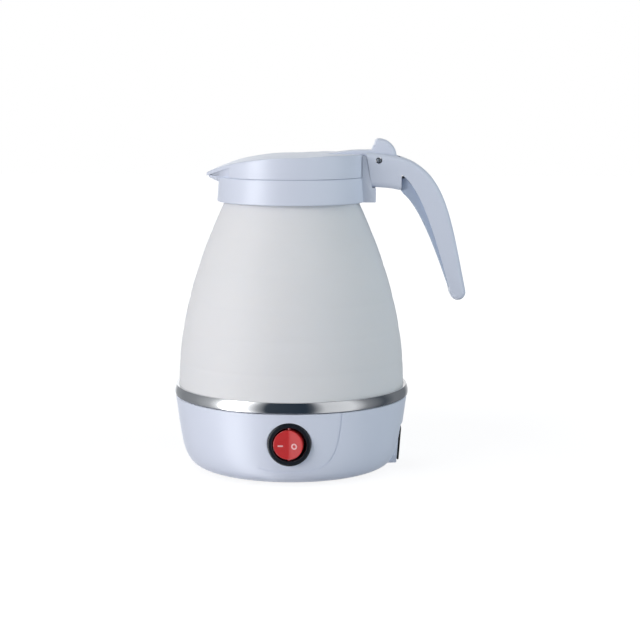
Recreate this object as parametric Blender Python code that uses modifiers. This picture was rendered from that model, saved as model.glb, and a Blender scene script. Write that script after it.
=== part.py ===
"""Collapsible travel kettle with a silicone body that folds into its base.

All sizes are in millimetres in the kettle's own axes: the vessel's axis is x = 0 and y = 0, the table is
z = 0, the spout points to -X, the handle to +X and the switch faces -Y. An empty moves that axis so that
the world origin is the middle of the footprint.
"""
import math

import bmesh
import bpy
from mathutils import Matrix, Vector

MM = 0.001
GAP = 0.3                      # running and assembly gap between neighbours
ROUND_STEPS = 40               # facets round the large shells
SMALL_STEPS = 20               # facets round the small turned pieces

# Base bowl
BASE_BOTTOM = 1.5              # the feet lift the bowl off the table
BASE_TOP = 41.6
BASE_CURVE = [(49.0, 1.5), (61.5, 1.5), (61.5, 17.0), (65.0, 41.6)]
BASE_INNER_CURVE = [(49.5, 5.6), (58.5, 5.6), (59.3, 16.0), (61.2, 37.7)]
SHELL_WALL = 2.2
LEDGE_Z = 37.7                 # the clamp ring rests here
LEDGE_RADIUS = 62.6
FLOOR_FLANGE = (3.9, 5.6)      # the bowl's inward flange above the cover
COVER_RADIUS = 46.5
COVER_TOP = 3.6
COVER_OPENING = 43.0
FOOT_RADIUS = 5.0
FOOT_CIRCLE = 35.0
SCREW_CIRCLE = 42.2
SCREW_ANGLES = (90, 210, 330)
STUD_CIRCLE = 58.0
STUD_ANGLES = (45, 135, 225, 315)
STUD_RADIUS = 1.5
BOSS_RADIUS = 3.4
DRILL = 1.5                    # radius of every screw's hole
SHANK = 1.2                    # radius of every screw's thread
FOOT_HOLE = 2.0

# Steel ring and heater
RING_RADIUS = 65.8
RING_BOTTOM = 42.0
RING_TOP = 47.4
PAN_FLOOR = 36.3
PAN_SHEET = 0.8
PAN_RADIUS = 55.0
PAN_FLANGE = 61.5
PAN_FLANGE_TOP = 42.5
HEATER_LOOP = 27.0
HEATER_TUBE = 3.2
HEATER_Z = 28.6
SPREADER_RADIUS = 33.0
SPREADER_PLATE = 3.0
THERMOSTAT_X = 10.0

# Rocker switch on its flat round seat, sunk into the bowl's front at the top and proud of it at the bottom
SWITCH_SEAT_Y = -61.3
SEAT_RADIUS = 12.2
SWITCH_Z = 24.8
BEZEL_RADIUS = 11.6
BEZEL_THICKNESS = 1.8
SWITCH_BODY_RADIUS = 9.8
SWITCH_DEPTH = 21.0
SWITCH_BORE = 8.75
ROCKER_RADIUS = 7.9
ROCKER_PIVOT_Y = -60.3
ROCKER_TILT = 10.0             # degrees each side of the middle
ROCKER_FACE = 8.0              # degrees that each half of its face falls to the middle

# Mains inlet on the tilted pad under the handle
INLET_FACE = (59.6, 0.0, 14.75)
INLET_TILT = 4.0
INLET_FLANGE = (27.0, 18.9, 1.0)
INLET_BODY = (25.4, 17.4, 19.0)
INLET_CAVITY = (23.6, 15.6, 16.0)
INLET_PAD_HALF = 16.0

# Silicone body
SKIN_CURVE = [(62.8, 47.7), (62.8, 76.0), (56.0, 109.0), (36.6, 150.0)]
SKIN_WALL = 1.8
FOLD_BOTTOM = 76.0
FOLD_TOP = 114.0
NECK_RADIUS = 36.6
NECK_TOP = 155.5

# Collar, lid and hinge
COLLAR_BOTTOM = 149.1
COLLAR_TOP = 162.8
COLLAR_RADII = (41.3, 40.2)
COLLAR_WALL = 1.8
MOUTH_RADIUS = 33.0
MOUTH_LIP = 1.4                # thickness of the lip that hangs in the mouth
MOUTH_LIP_BOTTOM = 151.5
COLLAR_ROOF = 1.2
SADDLE_HALF = 12.0
LID_RADIUS = 40.2
LID_BOTTOM = 163.1
LID_TOP = 174.8
LID_PLATE = 2.0
LID_WALL = 1.8
BEAK_TIP = -47.1
BEAK_ROOT = -33.4
BEAK_DROP = 10.4               # how far the lid's plate has fallen at the tip
BEAK_POWER = 2.2
PIN = (47.8, 0.0, 172.1)
PIN_RADIUS = 1.2
PIN_HOLE = 1.6
TAB_RADIUS = 11.8
ARM_HALF = 7.0
SLOT_HALF = 7.4
SLOT_RADIUS = 12.5
INNER_PLATE_TOP = 166.6
INNER_PLATE = 1.8
INNER_PLATE_RADIUS = 35.5
INNER_RIM_RADIUS = 31.0
INNER_RIM_BOTTOM = 158.0
POUR_HALF = 12.0               # half of the notch that lets water through to the beak
LID_SCREW_CIRCLE = 24.0
LID_SCREW_ANGLES = (0, 120, 240)
SCREW_Y = 9.6                  # the handle's two screws, seen from behind
SCREW_Z = 159.6

# Handle, drawn in its side view as rails from the root to the tip
HANDLE_OUTER = [(58.4, 174.2), (84.7, 168.3), (87.7, 141.3), (96.6, 100.3)]
HANDLE_INNER = [(56.1, 156.5), (67.9, 154.1), (78.2, 127.9), (88.1, 99.7)]
HANDLE_FLANGE = [(60.2, 164.4), (71.6, 157.4), (79.7, 128.5), (88.1, 99.7)]
HANDLE_TIP = (92.4, 99.1, 4.3)
HANDLE_HALF_TIP = 9.0          # half of its width at the tip's height
HANDLE_HALF_ROOT = 12.5        # and at the root
HANDLE_TIP_Z = 95.0
HANDLE_ROOT_Z = 167.0
GRIP_INSET = 3.2
CHANNEL_SHARE = 0.32           # how near the grip piece comes to the outer rail
CHEEK_END = 60.2               # where the cheeks stop and the grip piece begins

HANDLE_REACH = 96.75
AXIS_X = (RING_RADIUS - HANDLE_REACH) / 2


def clear_scene():
    for item in list(bpy.data.objects):
        bpy.data.objects.remove(item, do_unlink=True)


def new_collection(name):
    collection = bpy.data.collections.new(name)
    bpy.context.scene.collection.children.link(collection)
    return collection


def linear(channel):
    return channel / 12.92 if channel <= 0.04045 else ((channel + 0.055) / 1.055) ** 2.4


def material(name, hex_colour, roughness, metallic=0.0):
    made = bpy.data.materials.new(name)
    made.use_nodes = True
    shader = made.node_tree.nodes["Principled BSDF"]
    channels = [int(hex_colour[i:i + 2], 16) / 255 for i in (1, 3, 5)]
    shader.inputs["Base Color"].default_value = [linear(c) for c in channels] + [1.0]
    shader.inputs["Roughness"].default_value = roughness
    shader.inputs["Metallic"].default_value = metallic
    return made


def empty(name, position, parent=None, rotation=(0.0, 0.0, 0.0)):
    made = bpy.data.objects.new(name, None)
    made.location = Vector(position) * MM
    made.rotation_euler = [math.radians(angle) for angle in rotation]
    made.parent = parent
    PARTS.objects.link(made)
    return made


def place(item, frame, finish=None):
    """Hang an object on a frame. Only the inlet's and the rocker's meshes are drawn about their frames."""
    item.parent = FRAMES[frame]
    if frame == "lid":
        item.location = -FRAMES["lid"].location
    if finish:
        item.data.materials.clear()
        item.data.materials.append(finish)
        item.data.shade_smooth()
        item.data.set_sharp_from_angle(angle=math.radians(35))
    return item


def mesh_object(name, mesh_builder):
    mesh = bpy.data.meshes.new(name)
    mesh_builder.to_mesh(mesh)
    mesh_builder.free()
    made = bpy.data.objects.new(name, mesh)
    PARTS.objects.link(made)
    return made


def lathe(name, profile, steps=ROUND_STEPS, closed=True, centre=(0.0, 0.0)):
    """Turn a profile of (radius, height) points, given down the outer side, about a vertical axis."""
    builder = bmesh.new()
    points = [builder.verts.new((radius * MM, 0, height * MM)) for radius, height in profile]
    for first, second in zip(points, points[1:]):
        builder.edges.new((first, second))
    if closed:
        builder.edges.new((points[-1], points[0]))
    made = mesh_object(name, builder)
    screw = made.modifiers.new("turned", "SCREW")
    screw.angle = math.tau
    screw.steps = steps
    screw.render_steps = steps
    screw.use_merge_vertices = True
    screw.merge_threshold = 0.00001
    bake(made)
    made.data.transform(Matrix.Translation((centre[0] * MM, centre[1] * MM, 0)))
    return made


def rod(name, start, end, radius, steps=SMALL_STEPS):
    """A round bar between two points."""
    start, end = Vector(start) * MM, Vector(end) * MM
    builder = bmesh.new()
    turn = Vector((0, 0, 1)).rotation_difference(end - start).to_matrix().to_4x4()
    bmesh.ops.create_cone(
        builder, cap_ends=True, segments=steps, radius1=radius * MM, radius2=radius * MM,
        depth=(end - start).length, matrix=Matrix.Translation((start + end) / 2) @ turn)
    return mesh_object(name, builder)


def box(name, low, high):
    builder = bmesh.new()
    low, high = Vector(low) * MM, Vector(high) * MM
    size = Matrix.Diagonal((*(high - low), 1.0))
    bmesh.ops.create_cube(builder, size=1.0, matrix=Matrix.Translation((low + high) / 2) @ size)
    return mesh_object(name, builder)


def slab(name, outline, low, high, plane="XZ"):
    """A flat outline with a thickness: across Y for an XZ outline, up Z for an XY outline."""
    curve = bpy.data.curves.new(name, "CURVE")
    curve.dimensions = "2D"
    curve.fill_mode = "BOTH"
    curve.extrude = (high - low) / 2 * MM
    spline = curve.splines.new("POLY")
    spline.points.add(len(outline) - 1)
    for point, (across, up) in zip(spline.points, outline):
        point.co = (across * MM, up * MM, 0, 1)
    spline.use_cyclic_u = True
    flat = bpy.data.objects.new(name, curve)
    PARTS.objects.link(flat)
    middle = (low + high) / 2 * MM
    if plane == "XZ":
        turn = Matrix.Translation((0, middle, 0)) @ Matrix.Rotation(math.pi / 2, 4, "X")
    else:
        turn = Matrix.Translation((0, 0, middle))
    bpy.context.view_layer.update()
    mesh = bpy.data.meshes.new_from_object(flat.evaluated_get(bpy.context.evaluated_depsgraph_get()))
    bpy.data.objects.remove(flat)
    builder = bmesh.new()
    builder.from_mesh(mesh)
    bmesh.ops.remove_doubles(builder, verts=builder.verts, dist=0.00001)
    bmesh.ops.dissolve_limit(builder, angle_limit=0.001, verts=builder.verts, edges=builder.edges)
    bmesh.ops.recalc_face_normals(builder, faces=builder.faces)
    bmesh.ops.transform(builder, matrix=turn, verts=builder.verts)
    bpy.data.meshes.remove(mesh)
    return mesh_object(name, builder)


def hull(name, points):
    """The tight convex solid round a set of points."""
    builder = bmesh.new()
    for point in points:
        builder.verts.new(Vector(point) * MM)
    found = bmesh.ops.convex_hull(builder, input=builder.verts)
    bmesh.ops.delete(builder, geom=found["geom_interior"] + found["geom_unused"], context="VERTS")
    bmesh.ops.recalc_face_normals(builder, faces=builder.faces)
    return mesh_object(name, builder)


def tube(name, points, radius, resolution=2):
    """A round wire or tube through points."""
    curve = bpy.data.curves.new(name, "CURVE")
    curve.dimensions = "3D"
    curve.bevel_depth = radius * MM
    curve.bevel_resolution = resolution
    curve.use_fill_caps = True
    spline = curve.splines.new("POLY")
    spline.points.add(len(points) - 1)
    for point, position in zip(spline.points, points):
        point.co = (*[value * MM for value in position], 1)
    wire = bpy.data.objects.new(name, curve)
    PARTS.objects.link(wire)
    return wire


def boolean(target, other, operation):
    """Cut, join or intersect the target with another solid, which becomes a hidden guide."""
    modifier = target.modifiers.new(other.name, "BOOLEAN")
    modifier.operation = operation
    modifier.solver = "EXACT"
    modifier.object = other
    if other.name not in CUTTERS.objects:
        PARTS.objects.unlink(other)
        CUTTERS.objects.link(other)
        other.hide_render = True
        other.display_type = "WIRE"


def cut(target, *others):
    for other in others:
        boolean(target, other, "DIFFERENCE")


def join(target, *others):
    for other in others:
        boolean(target, other, "UNION")


def bake(item):
    """Turn an object's modifiers into its mesh."""
    bpy.context.view_layer.update()
    mesh = bpy.data.meshes.new_from_object(item.evaluated_get(bpy.context.evaluated_depsgraph_get()))
    item.modifiers.clear()
    item.data = mesh
    return item


def bevel(item, width, segments=2, angle=40):
    modifier = item.modifiers.new("rounded edges", "BEVEL")
    modifier.width = width * MM
    modifier.segments = segments
    modifier.limit_method = "ANGLE"
    modifier.angle_limit = math.radians(angle)


def bezier(curve, t):
    """A point of a cubic curve given by its four control points."""
    weights = ((1 - t) ** 3, 3 * t * (1 - t) ** 2, 3 * t * t * (1 - t), t ** 3)
    return tuple(sum(w * point[axis] for w, point in zip(weights, curve)) for axis in (0, 1))


def samples(curve, count):
    return [bezier(curve, i / (count - 1)) for i in range(count)]


def between(first, second, share, count):
    """Points that lie a share of the way from one rail to another."""
    pairs = zip(samples(first, count), samples(second, count))
    return [tuple(a + (b - a) * share for a, b in zip(p, q)) for p, q in pairs]


def arc(centre, radius, start, end, count):
    """Points of an arc in degrees, both ends included."""
    angles = [math.radians(start + (end - start) * i / (count - 1)) for i in range(count)]
    return [(centre[0] + radius * math.cos(a), centre[1] + radius * math.sin(a)) for a in angles]


def on_circle(radius, degrees):
    return radius * math.cos(math.radians(degrees)), radius * math.sin(math.radians(degrees))


def skin_radius(height):
    """The silicone's outer radius at a height, found by halving along its curve."""
    low, high = 0.0, 1.0
    for _ in range(40):
        middle = (low + high) / 2
        if bezier(SKIN_CURVE, middle)[1] < height:
            low = middle
        else:
            high = middle
    return bezier(SKIN_CURVE, low)[0]


def skin_wall(bottom, top, count):
    """Outer points downwards and inner points upwards of a stretch of the silicone wall."""
    heights = [bottom + (top - bottom) * i / (count - 1) for i in range(count)]
    outer = [(skin_radius(z), z) for z in reversed(heights)]
    inner = [(skin_radius(z) - SKIN_WALL, z) for z in heights]
    return outer, inner


def plate_drop(x):
    """How far the lid's plate lies below its rim height at a place along the spout."""
    return BEAK_DROP * max(0.0, x / BEAK_TIP) ** BEAK_POWER


def handle_half(z):
    slope = (HANDLE_HALF_ROOT - HANDLE_HALF_TIP) / (HANDLE_ROOT_Z - HANDLE_TIP_Z)
    return HANDLE_HALF_TIP + (z - HANDLE_TIP_Z) * slope


def side_solid(name, outline, inset=0.0):
    """A solid with the given side view whose sides taper towards the handle's tip."""
    made = slab(name, outline, -1.0, 1.0)
    for vertex in made.data.vertices:
        half = handle_half(vertex.co.z / MM) - inset
        vertex.co.y = math.copysign(half * MM, vertex.co.y)
    return made


def build_housing(white):
    """The bowl: turned outside and inside, with a round switch seat and a tilted inlet pad."""
    top = (BASE_CURVE[-1][0], BASE_TOP)
    outer = [(0, BASE_TOP), top] + list(reversed(samples(BASE_CURVE, 9)))[1:] + [(0, BASE_BOTTOM)]
    housing = place(lathe("base_housing", outer, closed=False), "base", white)

    hollow_profile = [(0, BASE_TOP + 2), (LEDGE_RADIUS, BASE_TOP + 2), (LEDGE_RADIUS, LEDGE_Z)]
    hollow_profile += list(reversed(samples(BASE_INNER_CURVE, 6))) + [(0, BASE_INNER_CURVE[0][1])]
    hollow = place(lathe("housing_hollow", hollow_profile, closed=False), "base")
    wall = SHELL_WALL
    behind_seat = rod("behind_switch_seat", (0, -80, SWITCH_Z), (0, SWITCH_SEAT_Y + wall, SWITCH_Z),
                      LEDGE_Z - SWITCH_Z, ROUND_STEPS)
    cut(hollow, place(behind_seat, "base"))
    pad_low, pad_high = -11.7, 11.0
    inner_pad = box("behind_inlet_pad", (-12, -INLET_PAD_HALF + wall, pad_low + wall),
                    (-wall, INLET_PAD_HALF - wall, pad_high - wall))
    join(hollow, place(inner_pad, "inlet"))

    pad = box("inlet_pad", (-20, -INLET_PAD_HALF, pad_low), (0, INLET_PAD_HALF, pad_high))
    pad_face = box("inlet_pad_face", (0, -INLET_PAD_HALF, pad_low - 2), (12, INLET_PAD_HALF, pad_high))
    switch_seat = rod("switch_seat", (0, SWITCH_SEAT_Y, SWITCH_Z), (0, -50, SWITCH_Z), SEAT_RADIUS,
                      ROUND_STEPS)
    seat_room = rod("switch_seat_room", (0, -80, SWITCH_Z), (0, SWITCH_SEAT_Y, SWITCH_Z), SEAT_RADIUS,
                    ROUND_STEPS)
    join(housing, place(pad, "inlet"), place(switch_seat, "base"))
    cut(housing, place(pad_face, "inlet"), place(seat_room, "base"), hollow)

    opening = rod("cover_opening", (0, 0, -1), (0, 0, 8), COVER_OPENING, ROUND_STEPS)
    recess = rod("cover_recess", (0, 0, -1), (0, 0, FLOOR_FLANGE[0]), COVER_RADIUS + GAP, ROUND_STEPS)
    cut(housing, place(opening, "base"), place(recess, "base"))

    for number, angle in enumerate(SCREW_ANGLES, 1):
        x, y = on_circle(SCREW_CIRCLE, angle)
        boss = rod(f"cover_boss_{number}", (x, y, FLOOR_FLANGE[0]), (x, y, 11.0), BOSS_RADIUS, 16)
        drill = rod(f"cover_boss_drill_{number}", (x, y, 2.0), (x, y, 10.0), DRILL, 12)
        join(housing, place(boss, "base"))
        cut(housing, place(drill, "base"))
    for number, angle in enumerate(STUD_ANGLES, 1):
        x, y = on_circle(STUD_CIRCLE, angle)
        ear = rod(f"housing_ear_{number}", (x, y, 35.4), (x, y, LEDGE_Z), BOSS_RADIUS, 16)
        drill = rod(f"housing_ear_drill_{number}", (x, y, 30.0), (x, y, 40.0), STUD_RADIUS + GAP, 12)
        join(housing, place(ear, "base"))
        cut(housing, place(drill, "base"))

    switch_hole = rod("switch_hole", (0, -70, SWITCH_Z), (0, -50, SWITCH_Z), SWITCH_BODY_RADIUS + GAP)
    half_y, half_z = INLET_BODY[0] / 2 + GAP, INLET_BODY[1] / 2 + GAP
    inlet_hole = box("inlet_hole", (-15, -half_y, -half_z), (5, half_y, half_z))
    cut(housing, place(switch_hole, "base"), place(inlet_hole, "inlet"))


def build_underside(white, rubber, steel):
    """The closing cover, its three screws and four rubber feet."""
    profile = [(0, COVER_TOP), (COVER_RADIUS, COVER_TOP), (COVER_RADIUS, BASE_BOTTOM), (0, BASE_BOTTOM)]
    cover = place(lathe("bottom_cover", profile, closed=False), "base", white)
    foot_profile = [(0, 4.9), (1.7, 4.9), (2.7, 3.9), (1.7, 3.9), (1.7, 1.2), (FOOT_RADIUS, 1.2),
                    (FOOT_RADIUS - 0.4, 0), (0, 0)]
    for number, angle in enumerate(STUD_ANGLES, 1):
        x, y = on_circle(FOOT_CIRCLE, angle)
        foot = lathe(f"rubber_foot_{number}", foot_profile, 16, closed=False, centre=(x, y))
        place(foot, "base", rubber)
        hole = rod(f"foot_hole_{number}", (x, y, 0), (x, y, 6), FOOT_HOLE, 16)
        cut(cover, place(hole, "base"))

    head_top = BASE_BOTTOM + 1.2
    for number, angle in enumerate(SCREW_ANGLES, 1):
        x, y = on_circle(SCREW_CIRCLE, angle)
        seat = rod(f"screw_seat_{number}", (x, y, 0), (x, y, head_top + GAP), 3.0, 16)
        hole = rod(f"screw_hole_{number}", (x, y, 0), (x, y, 6), DRILL, 12)
        cut(cover, place(seat, "base"), place(hole, "base"))
        profile = [(0, 9.6), (0.7, 9.6), (SHANK, 8.8), (SHANK, head_top), (2.6, head_top),
                   (2.3, BASE_BOTTOM + 0.2), (0, BASE_BOTTOM + 0.2)]
        place(lathe(f"cover_screw_{number}", profile, 12, closed=False, centre=(x, y)), "base", steel)


def build_ring_and_pan(steel, bright, white):
    """The trim ring, the vessel's steel floor with its studs, and the ring and nuts that clamp it."""
    sheet = 0.7
    ring = [(63.2, RING_TOP), (64.5, RING_TOP), (RING_RADIUS, 44.6),
            (RING_RADIUS, 43.2), (65.5, RING_BOTTOM), (65.5 - sheet, RING_BOTTOM),
            (RING_RADIUS - sheet, 44.0), (64.2, RING_TOP - sheet), (63.2, RING_TOP - sheet)]
    place(lathe("steel_ring", ring), "base", bright)

    low = PAN_FLOOR - PAN_SHEET
    inner = PAN_RADIUS - PAN_SHEET
    flange_bottom = PAN_FLANGE_TOP - 0.6
    pan_profile = [(0, PAN_FLOOR), (inner - 2, PAN_FLOOR), (inner, PAN_FLOOR + 2),
                   (inner, PAN_FLANGE_TOP), (PAN_FLANGE, PAN_FLANGE_TOP), (PAN_FLANGE, flange_bottom),
                   (PAN_RADIUS, flange_bottom), (PAN_RADIUS, low + 2.5), (PAN_RADIUS - 2.4, low), (0, low)]
    pan = place(lathe("heating_pan", pan_profile, closed=False), "base", steel)
    clamp_top, clamp_bottom = BASE_TOP, LEDGE_Z + GAP
    clamp_profile = [(LEDGE_RADIUS - GAP, clamp_top), (LEDGE_RADIUS - GAP, clamp_bottom),
                     (PAN_RADIUS + 0.4, clamp_bottom), (PAN_RADIUS + 0.4, clamp_top)]
    clamp = place(lathe("clamp_ring", clamp_profile), "base", white)
    for number, angle in enumerate(STUD_ANGLES, 1):
        x, y = on_circle(STUD_CIRCLE, angle)
        stud = rod(f"stud_{number}", (x, y, 31.5), (x, y, flange_bottom + 0.3), STUD_RADIUS, 12)
        join(pan, place(stud, "base"))
        drill = rod(f"clamp_drill_{number}", (x, y, 30), (x, y, 50), STUD_RADIUS + GAP, 12)
        cut(clamp, place(drill, "base"))
        profile = [(2.7, 35.1), (2.7, 32.7), (STUD_RADIUS + GAP, 32.7), (STUD_RADIUS + GAP, 35.1)]
        place(lathe(f"clamp_nut_{number}", profile, 6, centre=(x, y)), "base", steel)


def build_heater(aluminium, steel, ceramic):
    """The spreader plate, the bent tubular heater, two thermostats and the fuse under the pan."""
    under_pan = PAN_FLOOR - PAN_SHEET - GAP
    profile = [(0, under_pan), (SPREADER_RADIUS, under_pan), (SPREADER_RADIUS, under_pan - SPREADER_PLATE),
               (0, under_pan - SPREADER_PLATE)]
    place(lathe("heat_spreader", profile, 32, closed=False), "base", aluminium)
    loop = [(*on_circle(HEATER_LOOP, angle), HEATER_Z) for angle in range(25, 336, 15)]
    drop = [(0.6, -1.2), (0.9, -3.4), (0.9, -9.0)]
    start = [(loop[0][0] + along, loop[0][1], HEATER_Z + down) for along, down in reversed(drop)]
    end = [(loop[-1][0] + along, loop[-1][1], HEATER_Z + down) for along, down in drop]
    element = place(tube("heating_element", start + loop + end, HEATER_TUBE), "base")
    element.data.materials.append(steel)

    face = under_pan - SPREADER_PLATE - GAP
    disc = [(0, face), (7.9, face), (7.9, face - 2.4), (6.6, face - 3.0), (6.6, face - 9.0), (0, face - 9.0)]
    for name, x in (("boil_thermostat", -THERMOSTAT_X), ("dry_boil_cutout", THERMOSTAT_X)):
        place(lathe(name, disc, SMALL_STEPS, closed=False, centre=(x, 0)), "base", ceramic)
    place(rod("thermal_fuse", (-8, 15, face - 2.4), (8, 15, face - 2.4), 2.1, 12), "base", steel)


def build_switch(black, red, steel):
    """The round rocker switch: bezel and body in one, a rocker on a cross axle, and blade terminals."""
    face = SWITCH_SEAT_Y - GAP - BEZEL_THICKNESS
    seat = SWITCH_SEAT_Y - GAP
    back = seat + SWITCH_DEPTH
    floor = ROCKER_PIVOT_Y + 5.6
    # The profile is turned about a vertical axis and then tipped, so height here is distance towards -Y
    profile = [(0, -floor), (SWITCH_BORE, -floor), (SWITCH_BORE, -face - 1.0), (9.3, -face),
               (10.9, -face), (BEZEL_RADIUS, -face - 0.7), (BEZEL_RADIUS, -seat),
               (SWITCH_BODY_RADIUS, -seat), (SWITCH_BODY_RADIUS, -back), (0, -back)]
    housing = lathe("switch_housing", profile, 32, closed=False)
    housing.data.transform(Matrix.Translation((0, 0, SWITCH_Z * MM)) @ Matrix.Rotation(math.pi / 2, 4, "X"))
    place(housing, "base", black)
    axle_reach = 9.5
    axle_hole = rod("axle_hole", (0, ROCKER_PIVOT_Y, SWITCH_Z - axle_reach),
                    (0, ROCKER_PIVOT_Y, SWITCH_Z + axle_reach), 1.4, 12)
    cut(housing, place(axle_hole, "base"))

    front, rear = 3.9, 2.4
    rocker = rod("switch_rocker", (0, rear, 0), (0, -front, 0), ROCKER_RADIUS, 32)
    fall = math.tan(math.radians(ROCKER_FACE)) * 12
    valley = front - 0.7
    face_outline = [(0, -valley), (12, -valley - fall), (12, -12), (-12, -12), (-12, -valley - fall)]
    wedge = slab("rocker_face", face_outline, -10, 10, plane="XY")
    cut(rocker, place(wedge, "rocker"))
    axle = rod("rocker_axle", (0, 0, -9.2), (0, 0, 9.2), 1.0, 12)
    join(rocker, place(axle, "rocker"))
    place(rocker, "rocker", red)

    blade = (3.1, 6.0, 0.8)
    for number, x in enumerate((-5.0, 0.0, 5.0), 1):
        low = (x - blade[2] / 2, back + GAP, SWITCH_Z - blade[0])
        high = (x + blade[2] / 2, back + GAP + blade[1], SWITCH_Z + blade[0])
        place(box(f"switch_terminal_{number}", low, high), "base", steel)


def centred_box(name, width, height, near, far):
    """A box across the inlet's face, from one depth to another."""
    return box(name, (near, -width / 2, -height / 2), (far, width / 2, height / 2))


def build_inlet(black, brass):
    """The three pin mains inlet, which stands 1 mm proud of its tilted pad."""
    width, height, thickness = INLET_FLANGE
    socket = centred_box("inlet_socket", width, height, GAP, GAP + thickness)
    bevel(socket, 0.4, 1)
    body = centred_box("inlet_body", INLET_BODY[0], INLET_BODY[1], -INLET_BODY[2], GAP + thickness / 2)
    cavity = centred_box("inlet_cavity", INLET_CAVITY[0], INLET_CAVITY[1], -INLET_CAVITY[2], 5)
    join(socket, place(body, "inlet"))
    cut(socket, place(cavity, "inlet"))
    for number, (y, z) in enumerate(((-7.0, -2.0), (7.0, -2.0), (0.0, 2.5)), 1):
        half_y, half_z = 1.0, 2.0
        pin = box(f"inlet_pin_{number}", (-25, y - half_y, z - half_z), (-3.5, y + half_y, z + half_z))
        place(pin, "inlet", brass)
        hole = box(f"inlet_pin_hole_{number}", (-26, y - half_y - GAP, z - half_z - GAP),
                   (-10, y + half_y + GAP, z + half_z + GAP))
        cut(socket, place(hole, "inlet"))
    place(socket, "inlet", black)


def build_wires(colours):
    """Leads from the inlet to the switch, the heater and the pan, laid low in the bowl."""
    routes = {
        "live_wire": [(33.5, -7, 16.2), (29, -10, 14), (22, -18, 12), (12, -31, 12), (6.5, -34.8, 14),
                      (5.0, -36.3, 20.2)],
        "neutral_wire": [(33.5, 7, 16.2), (31, 10, 14), (27, 13.5, 12.5), (25.6, 12.4, 14), (25.4, 11.6, 18)],
        "earth_wire": [(33.5, 0, 20.7), (29, 1, 20.2), (24, 0, 20.4), (21, -1, 23), (20.4, -1.4, 31.4)],
    }
    for name, route in routes.items():
        wire = place(tube(name, route, 1.1), "base")
        wire.data.materials.append(colours[name])


def build_skin(silicone):
    """The silicone wall in three stretches: one stays with the base, one folds, one rides with the collar."""
    outer, inner = skin_wall(SKIN_CURVE[0][1], FOLD_BOTTOM, 4)
    bead = [(62.8, 45.9), (64.0, 45.5), (64.0, 42.8), (57.6, 42.8), (57.6, 44.2)]
    place(lathe("silicone_lower_wall", outer + bead + inner), "base", silicone)
    outer, inner = skin_wall(FOLD_BOTTOM + GAP, FOLD_TOP - GAP, 5)
    place(lathe("silicone_fold", outer + inner), "base", silicone)
    outer, inner = skin_wall(FOLD_TOP, SKIN_CURVE[-1][1], 5)
    bead = [(38.1, NECK_TOP), (38.1, NECK_TOP - 2.8), (NECK_RADIUS, NECK_TOP - 3.4)]
    inner.append((NECK_RADIUS - SKIN_WALL, NECK_TOP))
    place(lathe("silicone_neck", bead + outer + inner), "top", silicone)


def beak_half(x):
    """Half of the beak's width where the lid's plate edge runs from its root to its tip."""
    root_half = math.sqrt(LID_RADIUS ** 2 - BEAK_ROOT ** 2)
    tip_half = 1.2
    share = (x - BEAK_ROOT) / (BEAK_TIP + 0.6 - BEAK_ROOT)
    return root_half + (tip_half - root_half) * share


def build_beak(name, inset, raised, bottom):
    """A bow-shaped solid below the lid's plate, wide at the collar and pointed at the tip."""
    root = BEAK_ROOT + 0.6
    tip = BEAK_TIP + 1.2 + inset
    points = []
    for i in range(5):
        x = root + (tip - root) * i / 4
        z = LID_TOP - LID_PLATE - 0.35 - plate_drop(x) + raised
        half = max(beak_half(x) - 0.9 - inset, 0.4)
        points += [(x, half, z), (x, -half, z)]
    back = -27.0
    for side in (-1, 1):
        points += [(back, side * 19, LID_TOP - LID_PLATE - 0.35 - plate_drop(back) + raised)]
        points += [(back, side * 19, bottom)]
    wall_radius = LID_RADIUS - 0.1 - inset
    for x, y in arc((0, 0), wall_radius, 180 - 35, 180 + 35, 9):
        points.append((x, y, bottom))
    return hull(name, points)


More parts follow.
